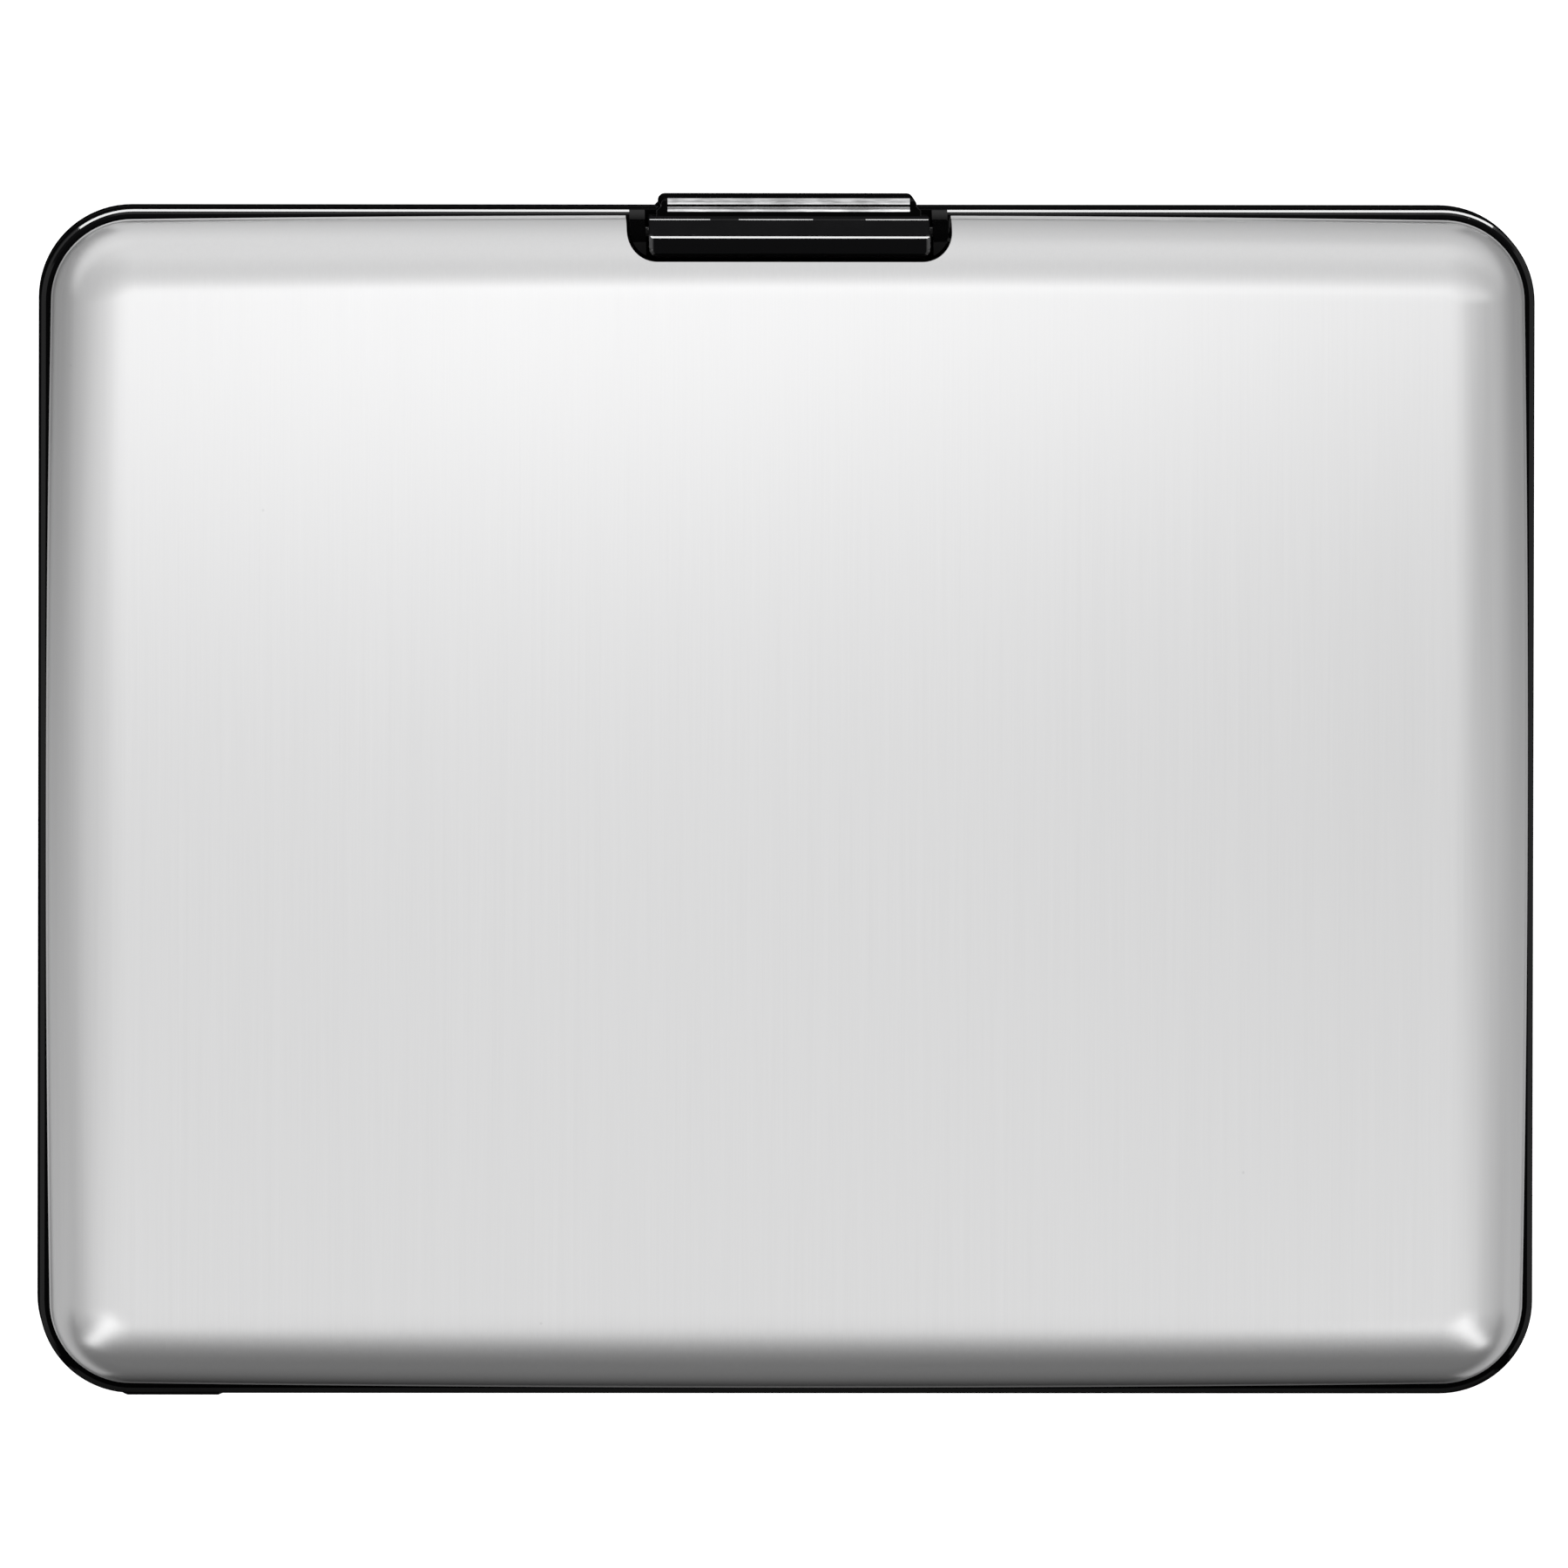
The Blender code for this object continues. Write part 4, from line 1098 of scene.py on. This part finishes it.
def end_level(tree, x, y):
    """The ends' papers are a little brighter towards the hinge."""
    turn = number(tree, "MULTIPLY_ADD", y, -6.0, 0.93)
    return number(tree, "MULTIPLY", profile(tree, number(tree, "ABSOLUTE", x), ENDS), turn)


clasp_paper = lit_paper("clasp_side_paper", clasp_side_level)
hinge_paper = lit_paper("hinge_side_paper", hinge_side_level)
end_paper = lit_paper("end_paper", end_level)
CARD_Z = (0.00005, 0.0003)
CARD_X = 0.06
CARDS_FAR = 2.9
CLASP_CARDS_Y = (0.045, 0.0685)
HINGE_CARDS_Y = (-0.066, -0.045)
for name, low, high, paper in (
    ("card_clasp_near", (-CARD_X, CLASP_CARDS_Y[0]), (CARD_X, CLASP_CARDS_Y[1]), clasp_paper),
    ("card_clasp_far", (-CARDS_FAR, CLASP_CARDS_Y[1]), (CARDS_FAR, CARDS_FAR), clasp_paper),
    ("card_hinge_near", (-CARD_X, HINGE_CARDS_Y[0]), (CARD_X, HINGE_CARDS_Y[1]), hinge_paper),
    ("card_hinge_far", (-CARDS_FAR, -CARDS_FAR), (CARDS_FAR, HINGE_CARDS_Y[0]), hinge_paper),
    ("card_left", (-CARDS_FAR, HINGE_CARDS_Y[0]), (-CARD_X, CLASP_CARDS_Y[1]), end_paper),
    ("card_right", (CARD_X, HINGE_CARDS_Y[0]), (CARDS_FAR, CLASP_CARDS_Y[1]), end_paper),
):
    card = as_piece(name, block((*low, CARD_Z[0]), (*high, CARD_Z[1])), paper)
    card.visible_diffuse = False
    reflected_only(card)

CEILING_Z = 0.24
CEILING_ALONG = [
    (-0.42, 0.2),
    (-0.319, 0.269),
    (-0.214, 0.393),
    (-0.146, 0.569),
    (-0.118, 0.659),
    (-0.093, 0.742),
    (-0.072, 0.82),
    (-0.05, 0.86),
    (-0.011, 0.84),
    (0.0, 0.83),
    (0.008, 0.87),
    (0.016, 0.98),
    (0.025, 1.24),
    (0.035, 1.57),
    (0.046, 1.61),
    (0.058, 1.46),
    (0.071, 1.14),
    (0.095, 0.95),
    (0.12, 0.84),
    (0.182, 0.8),
    (0.269, 0.847),
    (0.42, 0.894),
]
CEILING_ACROSS = [
    (0.0, 1.0),
    (0.06, 1.0),
    (0.075, 0.95),
    (0.101, 0.875),
    (0.152, 0.83),
    (0.219, 0.776),
    (0.319, 0.713),
    (0.42, 0.66),
]
CEILING_LEAN = [(-0.1, 0.0), (-0.03, 0.06), (0.015, 0.105), (0.04, 0.105), (0.1, 0.06), (0.2, 0.06)]
CEILING_HALF = 0.42


def ceiling_level(tree, x, y):
    """Brightest in a band near the clasp, which sags towards the ends and slants a little."""
    along = number(tree, "MULTIPLY_ADD", x, -0.09, y)
    level = profile(tree, along, CEILING_ALONG)
    wide = number(tree, "ABSOLUTE", x)
    square = number(tree, "MINIMUM", number(tree, "POWER", wide, 2.0), 0.0144)
    lean = number(tree, "ADD", profile(tree, y, CEILING_LEAN), -0.06)
    sag = number(tree, "MULTIPLY_ADD", number(tree, "MULTIPLY", square, lean), -477.0, 1.0)
    near = add_node(tree, "ShaderNodeClamp", {0: x, 1: -0.06, 2: 0.06}).outputs[0]
    skew = number(tree, "MULTIPLY_ADD", number(tree, "MULTIPLY", near, lean), -18.0, 1.0)
    for factor in (profile(tree, wide, CEILING_ACROSS), sag, skew):
        level = number(tree, "MULTIPLY", level, factor)
    return level


low, high = (-CEILING_HALF, -CEILING_HALF, CEILING_Z), (CEILING_HALF, CEILING_HALF, CEILING_Z + 0.001)
ceiling = as_piece("ceiling", block(low, high), lit_paper("ceiling_paper", ceiling_level))
reflected_only(ceiling)

# Two narrow panels lean over the hinge side's corners and light the corners' bend. Each starts
# under the ceiling and runs down and away from the corner, to the floor.
PANEL_HALF = 0.026
PANEL_NEAR = (0.07, 0.237)
PANEL_FAR = (0.36, 0.004)
PANEL_CORNER = (0.055, -0.045)
PANEL_LEVELS = [(-0.3, 1.5), (-0.1, 1.8)]
panel_paper = lit_paper("corner_paper", lambda tree, x, y: profile(tree, y, PANEL_LEVELS))
for side, name in ((-1, "corner_panel_left"), (1, "corner_panel_right")):
    bm = bmesh.new()
    corners = []
    for out, high in (PANEL_NEAR, PANEL_FAR):
        for across in (-PANEL_HALF, PANEL_HALF):
            x = PANEL_CORNER[0] + (out + across) * math.sqrt(0.5)
            y = PANEL_CORNER[1] - (out - across) * math.sqrt(0.5)
            corners.append(bm.verts.new((side * x, y, high)))
    bm.faces.new([corners[0], corners[1], corners[3], corners[2]])
    panel = as_piece(name, bm, panel_paper)
    panel.visible_diffuse = False
    reflected_only(panel)

world = bpy.data.worlds.new("studio")
bpy.context.scene.world = world
world.use_nodes = True
tree = world.node_tree
background = tree.nodes["Background"]
background.inputs["Color"].default_value = (1, 1, 1, 1)
sky = add_node(tree, "ShaderNodeTexCoord").outputs["Generated"]
parts = add_node(tree, "ShaderNodeSeparateXYZ", {0: sky}).outputs
SKY_ALONG_Y = [
    (-1.0, 0.17),
    (-0.91, 0.209),
    (-0.77, 0.3),
    (-0.59, 0.42),
    (-0.4, 0.66),
    (-0.2, 0.83),
    (0.0, 0.865),
    (0.5, 0.83),
    (0.87, 0.894),
    (0.96, 0.89),
    (1.0, 0.82),
]
SKY_ACROSS = [(0.0, 1.0), (0.42, 0.87), (0.6, 0.8), (0.82, 0.7), (0.97, 0.607), (1.0, 0.567)]
along = profile(tree, parts["Y"], SKY_ALONG_Y)
sides = profile(tree, number(tree, "ABSOLUTE", parts["X"]), SKY_ACROSS)
rays = add_node(tree, "ShaderNodeLightPath").outputs
level = number(tree, "MAXIMUM", number(tree, "MULTIPLY", along, sides), rays["Is Camera Ray"])
tree.links.new(level, background.inputs["Strength"])


def strip_lamp(name, place, aim, size_x, size_y, radiance, pieces):
    """A flat lamp for these pieces' edges; its power follows from its size and brightness."""
    lamp = bpy.data.lights.new(name, "AREA")
    lamp.shape = "RECTANGLE"
    lamp.size = size_x
    lamp.size_y = size_y
    lamp.energy = radiance * math.pi * size_x * size_y
    holder = bpy.data.objects.new(name, lamp)
    holder.location = place
    holder.rotation_euler = (Vector(place) - Vector(aim)).to_track_quat("Z", "Y").to_euler()
    bpy.context.scene.collection.objects.link(holder)
    holder.visible_camera = False
    linked(holder, pieces, "INCLUDE")


LAMP_DISTANCE = 0.5
LAMP_Z = 0.062
LAMP_DEPTH = 0.12
aim = (0, 0, 0.02)
strip_lamp("clasp_side_strip", (0, LAMP_DISTANCE, LAMP_Z), aim, 0.8, LAMP_DEPTH, 26.0, edge_pieces)
for side in (-1, 1):
    place = (LAMP_DISTANCE * side, 0, LAMP_Z)
    strip_lamp(f"end_strip_{side + 2}", place, aim, LAMP_DEPTH, LAMP_DEPTH, 4.0, [rocker, strap])

# The camera looks down on the front, as in the photograph: from far off, a little towards the
# clasp and the left, and turned by a tenth of a degree. One photograph pixel is 0.0729 mm.
CAMERA_DISTANCE = 6.0
CAMERA_TARGET = (-0.00012, 0.0012285, PARTING_Z)
CAMERA_LEAN = (-1.5, 2.86)
CAMERA_ROLL = 0.113
SENSOR = 36.0
PICTURE_WIDTH = 1800 * 0.00007292
camera_data = bpy.data.cameras.new("camera")
camera = bpy.data.objects.new("camera", camera_data)
bpy.context.scene.collection.objects.link(camera)
bpy.context.scene.camera = camera
sight = Vector((*(math.tan(math.radians(lean)) for lean in CAMERA_LEAN), 1.0)).normalized()
right = Vector((0, 1, 0)).cross(sight).normalized()
roll = Matrix.Rotation(math.radians(CAMERA_ROLL), 3, sight)
turned = Matrix((roll @ right, roll @ sight.cross(right), sight)).transposed().to_4x4()
camera.matrix_world = Matrix.Translation(Vector(CAMERA_TARGET) + sight * CAMERA_DISTANCE) @ turned
camera_data.sensor_width = SENSOR
camera_data.lens = SENSOR * CAMERA_DISTANCE / PICTURE_WIDTH
camera_data.clip_start = 0.1
camera_data.clip_end = 20.0

bpy.context.scene.view_settings.view_transform = "Standard"
